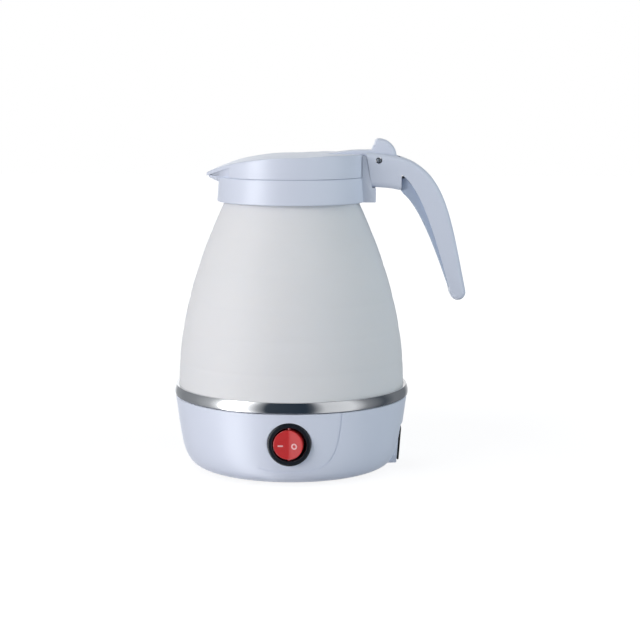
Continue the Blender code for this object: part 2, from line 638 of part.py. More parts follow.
def build_collar(white):
    """The collar: a conical ring with a mouth lip, a pouring beak in front and a hinge saddle behind."""
    bottom_radius, top_radius = COLLAR_RADII
    under_roof = COLLAR_TOP - COLLAR_ROOF
    lip_radius = MOUTH_RADIUS + MOUTH_LIP
    profile = [(top_radius, COLLAR_TOP), (bottom_radius, COLLAR_BOTTOM),
               (bottom_radius - COLLAR_WALL, COLLAR_BOTTOM), (top_radius - COLLAR_WALL, under_roof),
               (lip_radius, under_roof), (lip_radius, MOUTH_LIP_BOTTOM), (MOUTH_RADIUS, MOUTH_LIP_BOTTOM),
               (MOUTH_RADIUS, COLLAR_TOP)]
    collar = lathe("collar_ring", profile)

    saddle_outline = [(36, COLLAR_BOTTOM), (46.3, COLLAR_BOTTOM), (46.3, 157.0), (43.9, 157.2),
                      (40.6, 174.3), (36, 174.3)]
    saddle = slab("collar_saddle", saddle_outline, -SADDLE_HALF, SADDLE_HALF)
    lid_space = rod("saddle_lid_space", (0, 0, COLLAR_TOP), (0, 0, 190), LID_RADIUS + 0.5, ROUND_STEPS)
    arm_space = box("saddle_arm_space", (30, -SLOT_HALF, COLLAR_TOP), (60, SLOT_HALF, 190))
    collar_inside = bottom_radius - COLLAR_WALL - 0.05
    inside = rod("saddle_inside", (0, 0, 140), (0, 0, under_roof), collar_inside, ROUND_STEPS)
    for cutter in (lid_space, arm_space, inside):
        cut(saddle, place(cutter, "top"))

    beak = build_beak("collar_beak", 0.0, 0.0, COLLAR_TOP - 0.6)
    skirt_inside = LID_RADIUS - LID_WALL - GAP
    skirt_space = lathe("lid_skirt_space", [(LID_RADIUS + 2, 180), (LID_RADIUS + 2, COLLAR_TOP),
                                            (skirt_inside, COLLAR_TOP), (skirt_inside, 180)])
    spout_side = box("spout_side", (-60, -60, 150), (BEAK_ROOT - 0.2, 60, 190))
    cut(skirt_space, place(spout_side, "top"))
    cut(beak, place(skirt_space, "top"))
    keel = hull("collar_keel", [(-38.5, side * 9, COLLAR_TOP - 0.5) for side in (-1, 1)]
                + [(-40.6, side * 0.9, 160.1) for side in (-1, 1)] + [(-38.5, 0, 160.1)]
                + [(-45.6, side * 0.6, 162.5) for side in (-1, 1)]
                + [(-41.5, side * 5, 163.4) for side in (-1, 1)])
    trough = build_beak("beak_trough", 1.7, 3.0, COLLAR_TOP)
    mouth = rod("mouth_space", (0, 0, 140), (0, 0, 170), MOUTH_RADIUS, ROUND_STEPS)
    plate_space = rod("inner_plate_space", (0, 0, COLLAR_TOP + 0.1), (0, 0, 190), INNER_PLATE_RADIUS + 0.7,
                      ROUND_STEPS)
    join(collar, place(saddle, "top"), place(beak, "top"), place(keel, "top"))
    cut(collar, place(trough, "top"), place(mouth, "top"), place(plate_space, "top"))
    for number, side in enumerate((-1, 1), 1):
        y = side * SCREW_Y
        hole = rod(f"saddle_drill_{number}", (30, y, SCREW_Z), (50, y, SCREW_Z), DRILL, 12)
        cut(collar, place(hole, "top"))
    place(collar, "top", white)
    clamp_profile = [(38.9, 151.6), (39.1, 149.5), (37.0, 149.5), (37.0, 151.6)]
    place(lathe("neck_clamp_ring", clamp_profile), "top", white)


def build_handle(white, steel):
    """The handle: an outer shell with two hinge cheeks, and a grip piece set into its channel."""
    count = 14
    tip_x, tip_z, tip_radius = HANDLE_TIP
    outer = samples(HANDLE_OUTER, count)
    inner = samples(HANDLE_INNER, count)
    flange = samples(HANDLE_FLANGE, count)
    tip = arc((tip_x, tip_z), tip_radius, 0, -165, 7)
    root_top = [(40.9, 176.1), (50.0, 175.6)]
    root_bottom = [(52.2, 157.0), (44.3, 157.5)]
    recess_foot = (CHEEK_END, 155.6)
    outline = root_top + outer + tip + list(reversed(flange))[1:] + [recess_foot, inner[0]] + root_bottom
    shell = side_solid("handle_shell", outline)
    bevel(shell, 1.2, 1)
    channel_top = between(HANDLE_OUTER, HANDLE_FLANGE, CHANNEL_SHARE, count)[2:-1]
    channel_root = [(60.6, 148.0), (61.5, 163.5)]
    channel_tip = [(93.0, 101.9), (80.0, 101.0)]
    channel = side_solid("handle_channel", channel_root + channel_top + channel_tip, GRIP_INSET - GAP)
    slot = slab("hinge_slot", [(30, 190), (30, PIN[2] - SLOT_RADIUS), (PIN[0], PIN[2] - SLOT_RADIUS)]
                + arc((PIN[0], PIN[2]), SLOT_RADIUS, -75, 0, 8) + [(PIN[0] + SLOT_RADIUS, 190)],
                -SLOT_HALF, SLOT_HALF)
    pin_hole = rod("cheek_pin_hole", (PIN[0], -20, PIN[2]), (PIN[0], 20, PIN[2]), PIN_HOLE)
    cut(shell, place(channel, "top"), place(slot, "top"), place(pin_hole, "top"))

    inner_rail = [point for point in inner if point[0] > 60.9]
    grip_top = between(HANDLE_OUTER, HANDLE_FLANGE, CHANNEL_SHARE + 0.05, count)[2:-1]
    grip_root = CHEEK_END + GAP
    grip_outline = [(grip_root, 162.4), (62.1, 162.6)] + grip_top + [(92.4, 102.5), (87.2, 102.4)]
    grip_outline += list(reversed(inner_rail[:-1])) + [(grip_root, 155.4)]
    grip = side_solid("handle_grip", grip_outline, GRIP_INSET)
    wall = 2.0
    pocket_top = [(x + 6, z + 4) for x, z in grip_top[2:-3]]
    pocket_bottom = [(x + wall, z + wall * 0.5) for x, z in inner_rail[1:-3]]
    pocket = side_solid("grip_pocket", pocket_top + list(reversed(pocket_bottom)), GRIP_INSET + wall)
    cut(grip, place(pocket, "top"))
    place(shell, "top", white)
    place(grip, "top", white)

    for number, side in enumerate((-1, 1), 1):
        y = side * SCREW_Y
        hole = rod(f"cheek_drill_{number}", (40, y, SCREW_Z), (53.5, y, SCREW_Z), DRILL, 12)
        cut(shell, place(hole, "top"))
        profile = [(0, 36.3), (1.9, 36.3), (1.9, 34.7), (0, 34.7)]
        screw = lathe(f"handle_screw_{number}", profile, 16, closed=False)
        shank = rod(f"handle_shank_{number}", (0, 0, 36.0), (0, 0, 52.5), SHANK, 12)
        join(screw, shank)
        bake(screw)
        turn = Matrix.Translation((0, y * MM, SCREW_Z * MM)) @ Matrix.Rotation(math.pi / 2, 4, "Y")
        screw.data.transform(turn)
        place(screw, "top", steel)
    ends = handle_half(PIN[2]) - 0.5
    place(rod("hinge_pin", (PIN[0], -ends, PIN[2]), (PIN[0], ends, PIN[2]), PIN_RADIUS), "top", steel)


def build_lid(white, silicone, steel):
    """The lid: a skirted plate with a drooping beak and, behind, an arm with a thumb tab round the pin."""
    beak = math.degrees(math.atan2(math.sqrt(LID_RADIUS ** 2 - BEAK_ROOT ** 2), BEAK_ROOT))
    rim = arc((0, 0), LID_RADIUS, -beak, beak, 45)
    tip = [(BEAK_TIP + 0.6, 1.2), (BEAK_TIP, 0.5), (BEAK_TIP, -0.5), (BEAK_TIP + 0.6, -1.2)]
    cover = slab("lid_cover", rim + tip, LID_BOTTOM, LID_TOP, plane="XY")
    under_plate = LID_TOP - LID_PLATE
    hollow = rod("lid_hollow", (0, 0, 160), (0, 0, under_plate), LID_RADIUS - LID_WALL, ROUND_STEPS)
    spout_gap = box("lid_spout_gap", (-60, -30, 160), (BEAK_ROOT + 0.2, 30, under_plate))

    arm_outline = [(18, LID_TOP - 0.6), (33, 176.3), (44.3, 177.2), (46.3, 182.8)]
    arm_outline += arc((PIN[0], PIN[2]), TAB_RADIUS, 84, 12, 8)
    arm_outline += [(53.6, 168.6)] + arc((PIN[0], PIN[2]), 5.6, -35, -120, 5)
    arm_foot = LID_BOTTOM + 0.4
    arm_outline += [(42.6, 165.2), (41.0, arm_foot), (37.0, arm_foot), (37.0, under_plate + 0.6)]
    arm = slab("lid_arm", arm_outline, -ARM_HALF, ARM_HALF)
    bevel(arm, 0.9, 1)
    pin_hole = rod("lid_pin_hole", (PIN[0], -20, PIN[2]), (PIN[0], 20, PIN[2]), PIN_HOLE)
    cut(cover, place(hollow, "lid"), place(spout_gap, "lid"))
    join(cover, place(arm, "lid"))
    cut(cover, place(pin_hole, "lid"))
    for number, angle in enumerate(LID_SCREW_ANGLES, 1):
        x, y = on_circle(LID_SCREW_CIRCLE, angle)
        boss = rod(f"lid_boss_{number}", (x, y, INNER_PLATE_TOP + GAP), (x, y, under_plate + 0.5), 3.2, 16)
        drill = rod(f"lid_boss_drill_{number}", (x, y, 160), (x, y, under_plate - 0.8), DRILL, 12)
        join(cover, place(boss, "lid"))
        cut(cover, place(drill, "lid"))
    place(cover, "lid", white)
    bake(cover)
    bow_plate(cover)

    plate_bottom = INNER_PLATE_TOP - INNER_PLATE
    rim_inside = INNER_RIM_RADIUS - 1.5
    profile = [(0, INNER_PLATE_TOP), (INNER_PLATE_RADIUS, INNER_PLATE_TOP), (INNER_PLATE_RADIUS, plate_bottom),
               (INNER_RIM_RADIUS, plate_bottom), (INNER_RIM_RADIUS, INNER_RIM_BOTTOM),
               (rim_inside, INNER_RIM_BOTTOM), (rim_inside, plate_bottom), (0, plate_bottom)]
    inner = lathe("lid_inner_plate", profile, closed=False)
    notch = box("pour_notch", (-40, -POUR_HALF, 150), (-22, POUR_HALF, plate_bottom))
    front_trim = box("inner_plate_front", (-50, -40, 150), (-33.0, 40, 180))
    cut(inner, place(notch, "lid"), place(front_trim, "lid"))
    for number, angle in enumerate(LID_SCREW_ANGLES, 1):
        x, y = on_circle(LID_SCREW_CIRCLE, angle)
        hole = rod(f"inner_plate_hole_{number}", (x, y, 160), (x, y, 175), DRILL, 12)
        cut(inner, place(hole, "lid"))
        head = plate_bottom - GAP
        profile = [(0, head + 6.5), (SHANK, head + 6.5), (SHANK, head), (2.5, head), (2.2, head - 1.2),
                   (0, head - 1.2)]
        place(lathe(f"lid_screw_{number}", profile, 12, closed=False, centre=(x, y)), "lid", steel)
    place(inner, "lid", white)
    seat = INNER_RIM_RADIUS + GAP
    band = 0.9
    gasket_profile = [(seat, 163.8), (seat + band, 162.0), (seat + band, 161.0), (seat, 160.4)]
    gasket = lathe("lid_gasket", gasket_profile)
    gasket_gap = box("gasket_gap", (-50, -POUR_HALF - 0.2, 150), (-20, POUR_HALF + 0.2, 180))
    cut(gasket, place(gasket_gap, "lid"))
    place(gasket, "lid", silicone)


def bow_plate(cover):
    """Let the lid's plate fall towards the beak, after slicing it so that the fall is smooth."""
    builder = bmesh.new()
    builder.from_mesh(cover.data)
    slices = [BEAK_TIP * share / 9 for share in range(1, 9)]
    for x in slices:
        geometry = builder.verts[:] + builder.edges[:] + builder.faces[:]
        bmesh.ops.bisect_plane(builder, geom=geometry, dist=0.000001, plane_co=(x * MM, 0, 0),
                               plane_no=(1, 0, 0))
    bmesh.ops.triangulate(builder, faces=builder.faces)
    for vertex in builder.verts:
        if vertex.co.z > (LID_TOP - LID_PLATE - 1.0) * MM:
            vertex.co.z -= plate_drop(vertex.co.x / MM) * MM
    builder.to_mesh(cover.data)
    builder.free()


clear_scene()
PARTS = new_collection("collapsible_kettle")
CUTTERS = new_collection("cutters")
AXIS = empty("kettle_axis", (AXIS_X, 0, 0))
FRAMES = {
    "base": AXIS,
    "top": empty("collapse_slide", (0, 0, 0), AXIS),
    "inlet": empty("inlet_face", INLET_FACE, AXIS, (0, INLET_TILT, 0)),
    "rocker": empty("rocker_pivot", (0, ROCKER_PIVOT_Y, SWITCH_Z), AXIS, (0, 0, -ROCKER_TILT)),
}
FRAMES["lid"] = empty("lid_pivot", PIN, FRAMES["top"])

WHITE = material("white_plastic", "#dde3ee", 0.3)
SILICONE = material("milk_silicone", "#dfe2e4", 0.6)
BRIGHT = material("polished_steel", "#c9cbcd", 0.12, 1.0)
STEEL = material("plain_steel", "#a9abad", 0.35, 1.0)
ALUMINIUM = material("cast_aluminium", "#b8babd", 0.45, 1.0)
BRASS = material("nickel_plated_brass", "#c5b990", 0.3, 1.0)
BLACK = material("black_plastic", "#17181a", 0.35)
RED = material("red_plastic", "#b9282a", 0.25)
RUBBER = material("grey_rubber", "#5b5e62", 0.8)
CERAMIC = material("phenolic", "#2b2a28", 0.6)
WIRE_COLOURS = {
    "live_wire": material("brown_lead", "#6b3d22", 0.5),
    "neutral_wire": material("blue_lead", "#2b5fa8", 0.5),
    "earth_wire": material("green_lead", "#4f9a3c", 0.5),
}

build_housing(WHITE)
build_underside(WHITE, RUBBER, STEEL)
build_ring_and_pan(STEEL, BRIGHT, WHITE)
build_heater(ALUMINIUM, STEEL, CERAMIC)
build_switch(BLACK, RED, STEEL)
build_inlet(BLACK, BRASS)
build_wires(WIRE_COLOURS)
build_skin(SILICONE)
build_collar(WHITE)
build_handle(WHITE, STEEL)
build_lid(WHITE, SILICONE, STEEL)
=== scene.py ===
"""Looks of a collapsible travel kettle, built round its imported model.

Every piece is drawn in millimetres about the vessel's own axis, with the spout at -X, the handle at +X and
the switch at -Y, and is put into the model's frame in metres when it is finished.
"""

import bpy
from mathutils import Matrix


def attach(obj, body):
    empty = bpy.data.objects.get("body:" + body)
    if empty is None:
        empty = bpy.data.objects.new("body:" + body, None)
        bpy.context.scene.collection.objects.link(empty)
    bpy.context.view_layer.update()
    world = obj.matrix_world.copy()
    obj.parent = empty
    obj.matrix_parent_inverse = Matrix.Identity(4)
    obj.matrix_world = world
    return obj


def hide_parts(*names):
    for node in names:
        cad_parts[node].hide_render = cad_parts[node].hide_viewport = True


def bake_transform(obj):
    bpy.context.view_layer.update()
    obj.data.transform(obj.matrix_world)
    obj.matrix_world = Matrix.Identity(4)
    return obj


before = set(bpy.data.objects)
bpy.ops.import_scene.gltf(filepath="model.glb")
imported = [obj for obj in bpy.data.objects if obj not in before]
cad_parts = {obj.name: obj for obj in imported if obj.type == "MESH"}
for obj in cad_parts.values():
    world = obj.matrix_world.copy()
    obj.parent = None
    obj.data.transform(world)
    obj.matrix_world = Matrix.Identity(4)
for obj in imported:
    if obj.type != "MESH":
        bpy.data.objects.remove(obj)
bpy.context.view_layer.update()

import math

import bmesh
import bpy
from mathutils import Matrix, Vector

# Studio: a white paper floor, a large soft lamp on the left, a weaker and cooler one on the right, and the
# camera of the photograph. The room's own light is plain; only what glosses mirror has bright and dark sides.
AXIS_X = -0.015475                        # where the vessel's axis stands in the frame, in metres
CAMERA_PLACE = (0.0005, -0.888, 0.211)
CAMERA_LOOKS_DOWN = 8.244
CAMERA_ROLL = 0.25
LENS = 90.0
PAPER = "#c4c4c8"
ROOM = "#f6fafe"
ROOM_LIGHT = 0.42
MIRRORED_ROOM = (                         # degrees round from the front towards the handle, and brightness
    (-180, 1.0), (-168, 1.5), (-150, 0.4), (-128, 0.3), (-106, 0.35), (-92, 0.5), (-85, 0.6), (-79, 0.95),
    (-75, 1.2), (-69, 5.6), (-50, 5.6), (-41, 1.4), (-33, 0.55), (-24, 0.05), (16, 0.03), (22, 0.1),
    (34, 0.8), (64, 0.95), (80, 0.3), (104, 0.08), (122, 0.22), (150, 0.2), (180, 0.3),
)
DARK_TINT = (0.0, 0.015, 0.035)           # what a dark side mirrors on top of its brightness: a little blue
SOFTBOXES = (                             # name, degrees round from the front, watts and colour
    ("left_softbox", -50, 17.2, "#fffbfb"),
    ("right_softbox", 74, 9.0, "#eefaff"),
)
SOFTBOX_RISE = 8                          # degrees above the kettle's middle
SOFTBOX_DISTANCE = 1.5
SOFTBOX_SIZE = 1.0
KETTLE_MIDDLE = 0.09
FLOOR_SHADED = (0.26, 0.26, 0.265, 1.0)   # the share of the lamps' light that the camera sees on the floor
FLOOR_GLOW = (0.86, 1.0)                  # its own light near the kettle and far away
FLOOR_GLOW_RISES = (0.15, 0.6)            # metres from the middle between which it rises


def linear(hex_colour):
    """An sRGB hex colour as the linear colour that Blender's sockets take."""
    channels = [int(hex_colour[i:i + 2], 16) / 255 for i in (1, 3, 5)]
    return [c / 12.92 if c <= 0.04045 else ((c + 0.055) / 1.055) ** 2.4 for c in channels] + [1.0]


def feed(tree, node, inputs):
    """Give each of a node's inputs its value, or the socket that feeds it."""
    for name, value in inputs.items():
        if isinstance(value, bpy.types.NodeSocket):
            tree.links.new(value, node.inputs[name])
        else:
            node.inputs[name].default_value = value


def add(tree, kind, inputs=None, **settings):
    """Add a node with its settings and inputs."""
    node = tree.nodes.new(kind)
    for name, value in settings.items():
        setattr(node, name, value)
    feed(tree, node, inputs or {})
    return node


def light_the_room():
    """Diffuse surfaces get even light, the camera sees white, and glosses see a studio's sides."""
    world = bpy.data.worlds.new("studio_room")
    world.use_nodes = True
    tree = world.node_tree
    tree.nodes.clear()
    direction = add(tree, "ShaderNodeTexCoord").outputs["Generated"]
    parts = add(tree, "ShaderNodeSeparateXYZ", {0: direction})
    front = add(tree, "ShaderNodeMath", {0: parts.outputs["Y"], 1: -1.0}, operation="MULTIPLY")
    turn = add(tree, "ShaderNodeMath", {0: parts.outputs["X"], 1: front.outputs[0]}, operation="ARCTAN2")
    share = add(tree, "ShaderNodeMapRange", {0: turn.outputs[0], 1: -math.pi, 2: math.pi})
    sides = add(tree, "ShaderNodeValToRGB", {0: share.outputs[0]})
    ramp = sides.color_ramp
    ramp.interpolation = "LINEAR"
    for place, (degrees, brightness) in enumerate(MIRRORED_ROOM):
        position = (degrees + 180) / 360
        stop = ramp.elements[0] if place == 0 else ramp.elements.new(position)
        stop.position = position
        stop.color = [brightness + extra for extra in DARK_TINT] + [1.0]
    ramp.elements.remove(ramp.elements[-1])
    rays = add(tree, "ShaderNodeLightPath")
    even = add(tree, "ShaderNodeBackground", {"Color": linear(ROOM), "Strength": ROOM_LIGHT})
    mirrored = add(tree, "ShaderNodeBackground", {"Color": sides.outputs[0], "Strength": 1.0})
    white = add(tree, "ShaderNodeBackground", {"Color": (1.0, 1.0, 1.0, 1.0), "Strength": 1.0})
    seen = add(tree, "ShaderNodeMath", operation="MAXIMUM",
               inputs={0: rays.outputs["Is Camera Ray"], 1: rays.outputs["Is Transmission Ray"]})
    glossy = add(tree, "ShaderNodeMixShader", {0: rays.outputs["Is Glossy Ray"], 1: even.outputs[0],
                                               2: mirrored.outputs[0]})
    final = add(tree, "ShaderNodeMixShader", {0: seen.outputs[0], 1: glossy.outputs[0], 2: white.outputs[0]})
    add(tree, "ShaderNodeOutputWorld", {"Surface": final.outputs[0]})
    bpy.context.scene.world = world


def hang_softbox(name, turn, power, tint):
    """A square soft box that faces the kettle's middle."""
    lamp = bpy.data.lights.new(name, "AREA")
    lamp.shape = "SQUARE"
    lamp.size = SOFTBOX_SIZE
    lamp.energy = power
    lamp.color = linear(tint)[:3]
    hung = bpy.data.objects.new(name, lamp)
    across, up = math.radians(turn), math.radians(SOFTBOX_RISE)
    away = Vector((math.sin(across) * math.cos(up), -math.cos(across) * math.cos(up), math.sin(up)))
    hung.location = Vector((AXIS_X, 0, KETTLE_MIDDLE)) + away * SOFTBOX_DISTANCE
    hung.rotation_euler = away.to_track_quat("Z", "Y").to_euler()
    hung.visible_glossy = False
    bpy.context.scene.collection.objects.link(hung)


def lay_the_paper():
    """The floor is lit paper with the kettle's shadow on it; the camera sees its lit part as plain white."""
    paper = bmesh.new()
    bmesh.ops.create_grid(paper, x_segments=1, y_segments=1, size=3.0)
    mesh = bpy.data.meshes.new("studio_floor")
    paper.to_mesh(mesh)
    paper.free()
    floor = bpy.data.objects.new("studio_floor", mesh)
    floor.visible_glossy = False
    bpy.context.scene.collection.objects.link(floor)
    finish = bpy.data.materials.new("white_paper_sweep")
    finish.use_nodes = True
    tree = finish.node_tree
    tree.nodes.clear()
    rays = add(tree, "ShaderNodeLightPath")
    matt = add(tree, "ShaderNodeBsdfDiffuse", {"Color": linear(PAPER)})
    place = add(tree, "ShaderNodeTexCoord").outputs["Object"]
    reach = add(tree, "ShaderNodeVectorMath", {0: place}, operation="LENGTH")
    level = add(tree, "ShaderNodeMapRange", {0: reach.outputs["Value"], 1: FLOOR_GLOW_RISES[0],
                                             2: FLOOR_GLOW_RISES[1], 3: FLOOR_GLOW[0], 4: FLOOR_GLOW[1]})
    shaded = add(tree, "ShaderNodeBsdfDiffuse", {"Color": FLOOR_SHADED})
    glow = add(tree, "ShaderNodeEmission", {"Color": (1.0, 1.0, 1.0, 1.0), "Strength": level.outputs[0]})
    seen = add(tree, "ShaderNodeAddShader", {0: shaded.outputs[0], 1: glow.outputs[0]})
    mixed = add(tree, "ShaderNodeMixShader", {0: rays.outputs["Is Camera Ray"], 1: matt.outputs[0],
                                              2: seen.outputs[0]})
    add(tree, "ShaderNodeOutputMaterial", {"Surface": mixed.outputs[0]})
    floor.data.materials.append(finish)


camera_data = bpy.data.cameras.new("photograph_camera")
camera_data.lens = LENS
camera_data.sensor_width = 36.0
camera = bpy.data.objects.new("photograph_camera", camera_data)
looks_down = Matrix.Rotation(math.radians(90 - CAMERA_LOOKS_DOWN), 4, "X")
rolled = Matrix.Rotation(math.radians(CAMERA_ROLL), 4, "Z")
camera.matrix_world = Matrix.Translation(CAMERA_PLACE) @ looks_down @ rolled
bpy.context.scene.collection.objects.link(camera)
bpy.context.scene.camera = camera
bpy.context.scene.view_settings.view_transform = "Standard"
light_the_room()
lay_the_paper()
for softbox in SOFTBOXES:
    hang_softbox(*softbox)


# The base bowl is one ABS injection moulding, bluish white. Its front has a round seat for the switch and the
# faint edge of a panel, its side a tilted pad for the mains inlet. Its skin is drawn first and gets a 2 mm
# wall after that.
BOWL_CURVE = ((49.0, 1.5), (61.5, 1.5), (61.5, 17.0), (65.0, 41.6))
BOWL_STEPS = 320
BOWL_WALL = 2.0
BOWL_RIM = (64.5, 41.3)                   # radius and height of its upper edge
RIM_WIDTH = 1.6
WALL_TOP = 40.9                           # where the curve gives way to the rim
SWITCH_SEAT_Y = -61.3
SWITCH_Z = 24.8
SWITCH_SEAT = 12.0                        # radius of its flat seat
SWITCH_HOLE = 10.1
SEAT_BACKING_Y = -60.4                    # where the wall behind the seat's upper part begins
IN_FRONT = -80.0                          # well in front of the bowl, where cuts into its front begin
INLET_FACE = (59.6, 14.75)                # the middle of the inlet's pad
INLET_TILT = math.radians(4)
INLET_PAD = (15.0, 4.1, 25.7)             # half its width, its bottom and its top
INLET_HOLE = (13.0, 8.9)                  # half of the opening each way
PANEL_EDGE = ((0, 9.2), (22, 9.2), (26, 14.0), (27.9, 44.0))
PANEL_GROOVE = (0.6, 0.28)                # width and depth of the groove along it
PANEL_FADES = -17.0                       # where the groove ends on the left
# painted light: the bowl's white is set a shade lighter than the collar's, which is the same ABS
BOWL_WHITE_PAINTED_LIGHTER = "#dfe6f4"


def along(curve, t):
    """A point of a cubic curve given by its four control points."""
    shares = ((1 - t) ** 3, 3 * t * (1 - t) ** 2, 3 * t * t * (1 - t), t ** 3)
    return tuple(sum(s * point[axis] for s, point in zip(shares, curve)) for axis in (0, 1))


def samples(curve, count):
    """Points of a curve from its start to its end."""
    return [along(curve, i / (count - 1)) for i in range(count)]


def place_on(curve, height):
    """Where along a rising curve a height is reached."""
    low, high = 0.0, 1.0
    for _ in range(40):
        middle = (low + high) / 2
        if along(curve, middle)[1] < height:
            low = middle
        else:
            high = middle
    return low


def turned(profile, steps=192, closed=True, lay=None):
    """Spin a profile of (radius, height) points about the vertical axis, then lay it where a matrix says."""
    shape = bmesh.new()
    points = [shape.verts.new((radius, 0, height)) for radius, height in profile]
    pairs = list(zip(points, points[1:])) + ([(points[-1], points[0])] if closed else [])
    lines = [shape.edges.new(pair) for pair in pairs]
    bmesh.ops.spin(shape, geom=points + lines, cent=(0, 0, 0), axis=(0, 0, 1), dvec=(0, 0, 0), angle=math.tau,
                   steps=steps, use_merge=True, use_duplicate=False)
    bmesh.ops.remove_doubles(shape, verts=shape.verts, dist=0.0005)
    on_axis = [edge for edge in shape.edges if not edge.link_faces]
    bmesh.ops.delete(shape, geom=on_axis, context="EDGES")
    bmesh.ops.recalc_face_normals(shape, faces=shape.faces)
    if lay:
        bmesh.ops.transform(shape, matrix=lay, verts=shape.verts)
    return shape


def hang(piece, body, finish, nodes=()):
    """Give a piece its material, and tell the frame what it rides on and what it stands for."""
    piece.data.materials.clear()
    piece.data.materials.append(finish)
    if nodes:
        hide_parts(*nodes)
    if body:
        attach(piece, body)
    return piece


def shade(mesh, crease):
    """Smooth shading, with a crease where two faces meet at more than an angle."""
    mesh.shade_smooth()
    mesh.set_sharp_from_angle(angle=math.radians(crease))


def finished(name, shape, crease=32):
    """Turn a shape in millimetres into an object in the frame, with smooth shading between its creases."""
    to_frame = Matrix.Translation((AXIS_X, 0, 0)) @ Matrix.Scale(0.001, 4)
    bmesh.ops.transform(shape, matrix=to_frame, verts=shape.verts)
    mesh = bpy.data.meshes.new(name)
    shape.to_mesh(mesh)
    shape.free()
    shade(mesh, crease)
    made = bpy.data.objects.new(name, mesh)
    bpy.context.scene.collection.objects.link(made)
    return made


def new_finish(name):
    """A new material, its node tree, its shader and the place on the piece that its patterns read."""
    finish = bpy.data.materials.new(name)
    finish.use_nodes = True
    tree = finish.node_tree
    return finish, tree, tree.nodes["Principled BSDF"], add(tree, "ShaderNodeTexCoord").outputs["Object"]


def texture(tree, shader, pattern, height_mm, least, most):
    """Let a pattern raise the surface by a height, and vary its roughness between two values."""
    bump = add(tree, "ShaderNodeBump", {"Strength": 1.0, "Distance": height_mm * 0.001, "Height": pattern})
    gloss = add(tree, "ShaderNodeMapRange", {0: pattern, 3: least, 4: most})
    feed(tree, shader, {"Roughness": gloss.outputs[0], "Normal": bump.outputs["Normal"]})


def moulded(name, colour, roughness, ior, pebble_mm, pebble_height_mm, tone=0.02):
    """An injection moulded plastic: even colour, a skin never quite flat, and gloss that varies a little."""
    finish, tree, shader, place = new_finish(name)
    cloud = add(tree, "ShaderNodeTexNoise", {"Vector": place, "Scale": 1000 / 24.0, "Detail": 2.0})
    pebble = add(tree, "ShaderNodeTexNoise", {"Vector": place, "Scale": 1000 / pebble_mm, "Detail": 1.5})
    dark = [channel * (1 - tone) for channel in linear(colour)[:3]] + [1.0]
    tint = add(tree, "ShaderNodeMix", {0: cloud.outputs["Fac"], 6: dark, 7: linear(colour)}, data_type="RGBA")
    feed(tree, shader, {"Base Color": tint.outputs[2], "IOR": ior})
    texture(tree, shader, pebble.outputs["Fac"], pebble_height_mm, roughness - 0.03, roughness + 0.03)
    return finish


# ABS from a polished mould: satin gloss, with the faint orange peel that cooling leaves; its white is painted
# a shade lighter than the collar's same ABS, as painted light on the base
painted_lighter_bowl_abs = moulded("white_abs_polished_painted_lighter", BOWL_WHITE_PAINTED_LIGHTER, 0.34, 1.54, 1.6, 0.0006)


def bowl_skin():
    """The outer skin: a turned curve with its rows set close where the inlet's pad begins and ends."""
    _, pad_low, pad_high = INLET_PAD
    stops = {place_on(BOWL_CURVE, z) for z in (pad_low - 0.2, pad_low + 0.2, pad_high - 0.2, pad_high + 0.2)}
    top = place_on(BOWL_CURVE, WALL_TOP)
    stops |= {i / 60 for i in range(60)} | {top}
    wall = [along(BOWL_CURVE, t) for t in sorted(stops, reverse=True) if t <= top]
    rim = [(BOWL_RIM[0] - RIM_WIDTH, BOWL_RIM[1]), BOWL_RIM]
    foot = [(47.3, 1.5), (46.9, 1.8), (46.8, 3.9), (43.0, 3.9)]
    return turned(rim + wall + foot, BOWL_STEPS, closed=False)


def press_inlet_pad(skin):
    """Set the inlet's pad into the bowl at the top and out of it at the bottom, with upright sides."""
    half, low, high = INLET_PAD
    for point in skin.verts:
        x, y, z = point.co
        if x <= 0 or not low <= z <= high:
            continue
        spacing = x * math.tau / BOWL_STEPS
        side = abs(y)
        if half <= side < half + spacing:
            radius = math.hypot(x, y)
            point.co.y = math.copysign(half + 0.15, y)
            point.co.x = math.sqrt(radius ** 2 - point.co.y ** 2)
        elif side < half:
            if side >= half - spacing:
                point.co.y = math.copysign(half - 0.15, y)
            point.co.x = INLET_FACE[0] + (z - INLET_FACE[1]) * math.tan(INLET_TILT)


def open_inlet_pad(skin):
    """Take out the faces inside the inlet's flange."""
    def inside(point):
        return point.x > 50 and abs(point.y) < INLET_HOLE[0] and abs(point.z - INLET_FACE[1]) < INLET_HOLE[1]

    gone = [face for face in skin.faces if all(inside(v.co) for v in face.verts)]
    bmesh.ops.delete(skin, geom=gone, context="FACES")


def bake(piece):
    """Make a piece's modifiers part of its mesh."""
    bpy.context.view_layer.update()
    mesh = bpy.data.meshes.new_from_object(piece.evaluated_get(bpy.context.evaluated_depsgraph_get()))
    piece.modifiers.clear()
    piece.data = mesh


def carve(piece, *tools, operation="DIFFERENCE", crease=32):
    """Cut tools out of a piece or weld them to it, and take the tools away."""
    for tool in tools:
        step = piece.modifiers.new("carving", "BOOLEAN")
        step.operation = operation
        step.solver = "EXACT"
        step.object = tool
    bake(piece)
    for tool in tools:
        bpy.data.objects.remove(tool)
    shape = bmesh.new()
    shape.from_mesh(piece.data)
    bmesh.ops.remove_doubles(shape, verts=shape.verts, dist=0.000004)
    bmesh.ops.dissolve_degenerate(shape, edges=shape.edges, dist=0.000002)
    shape.to_mesh(piece.data)
    shape.free()
    shade(piece.data, crease)
    return piece


def block(low, high, lay=None):
    """A plain box between two corners."""
    shape = bmesh.new()
    low, high = Vector(low), Vector(high)
    size = Matrix.Diagonal((*(high - low), 1.0))
    placed = (lay or Matrix()) @ Matrix.Translation((low + high) / 2) @ size
    bmesh.ops.create_cube(shape, size=1.0, matrix=placed)
    return shape


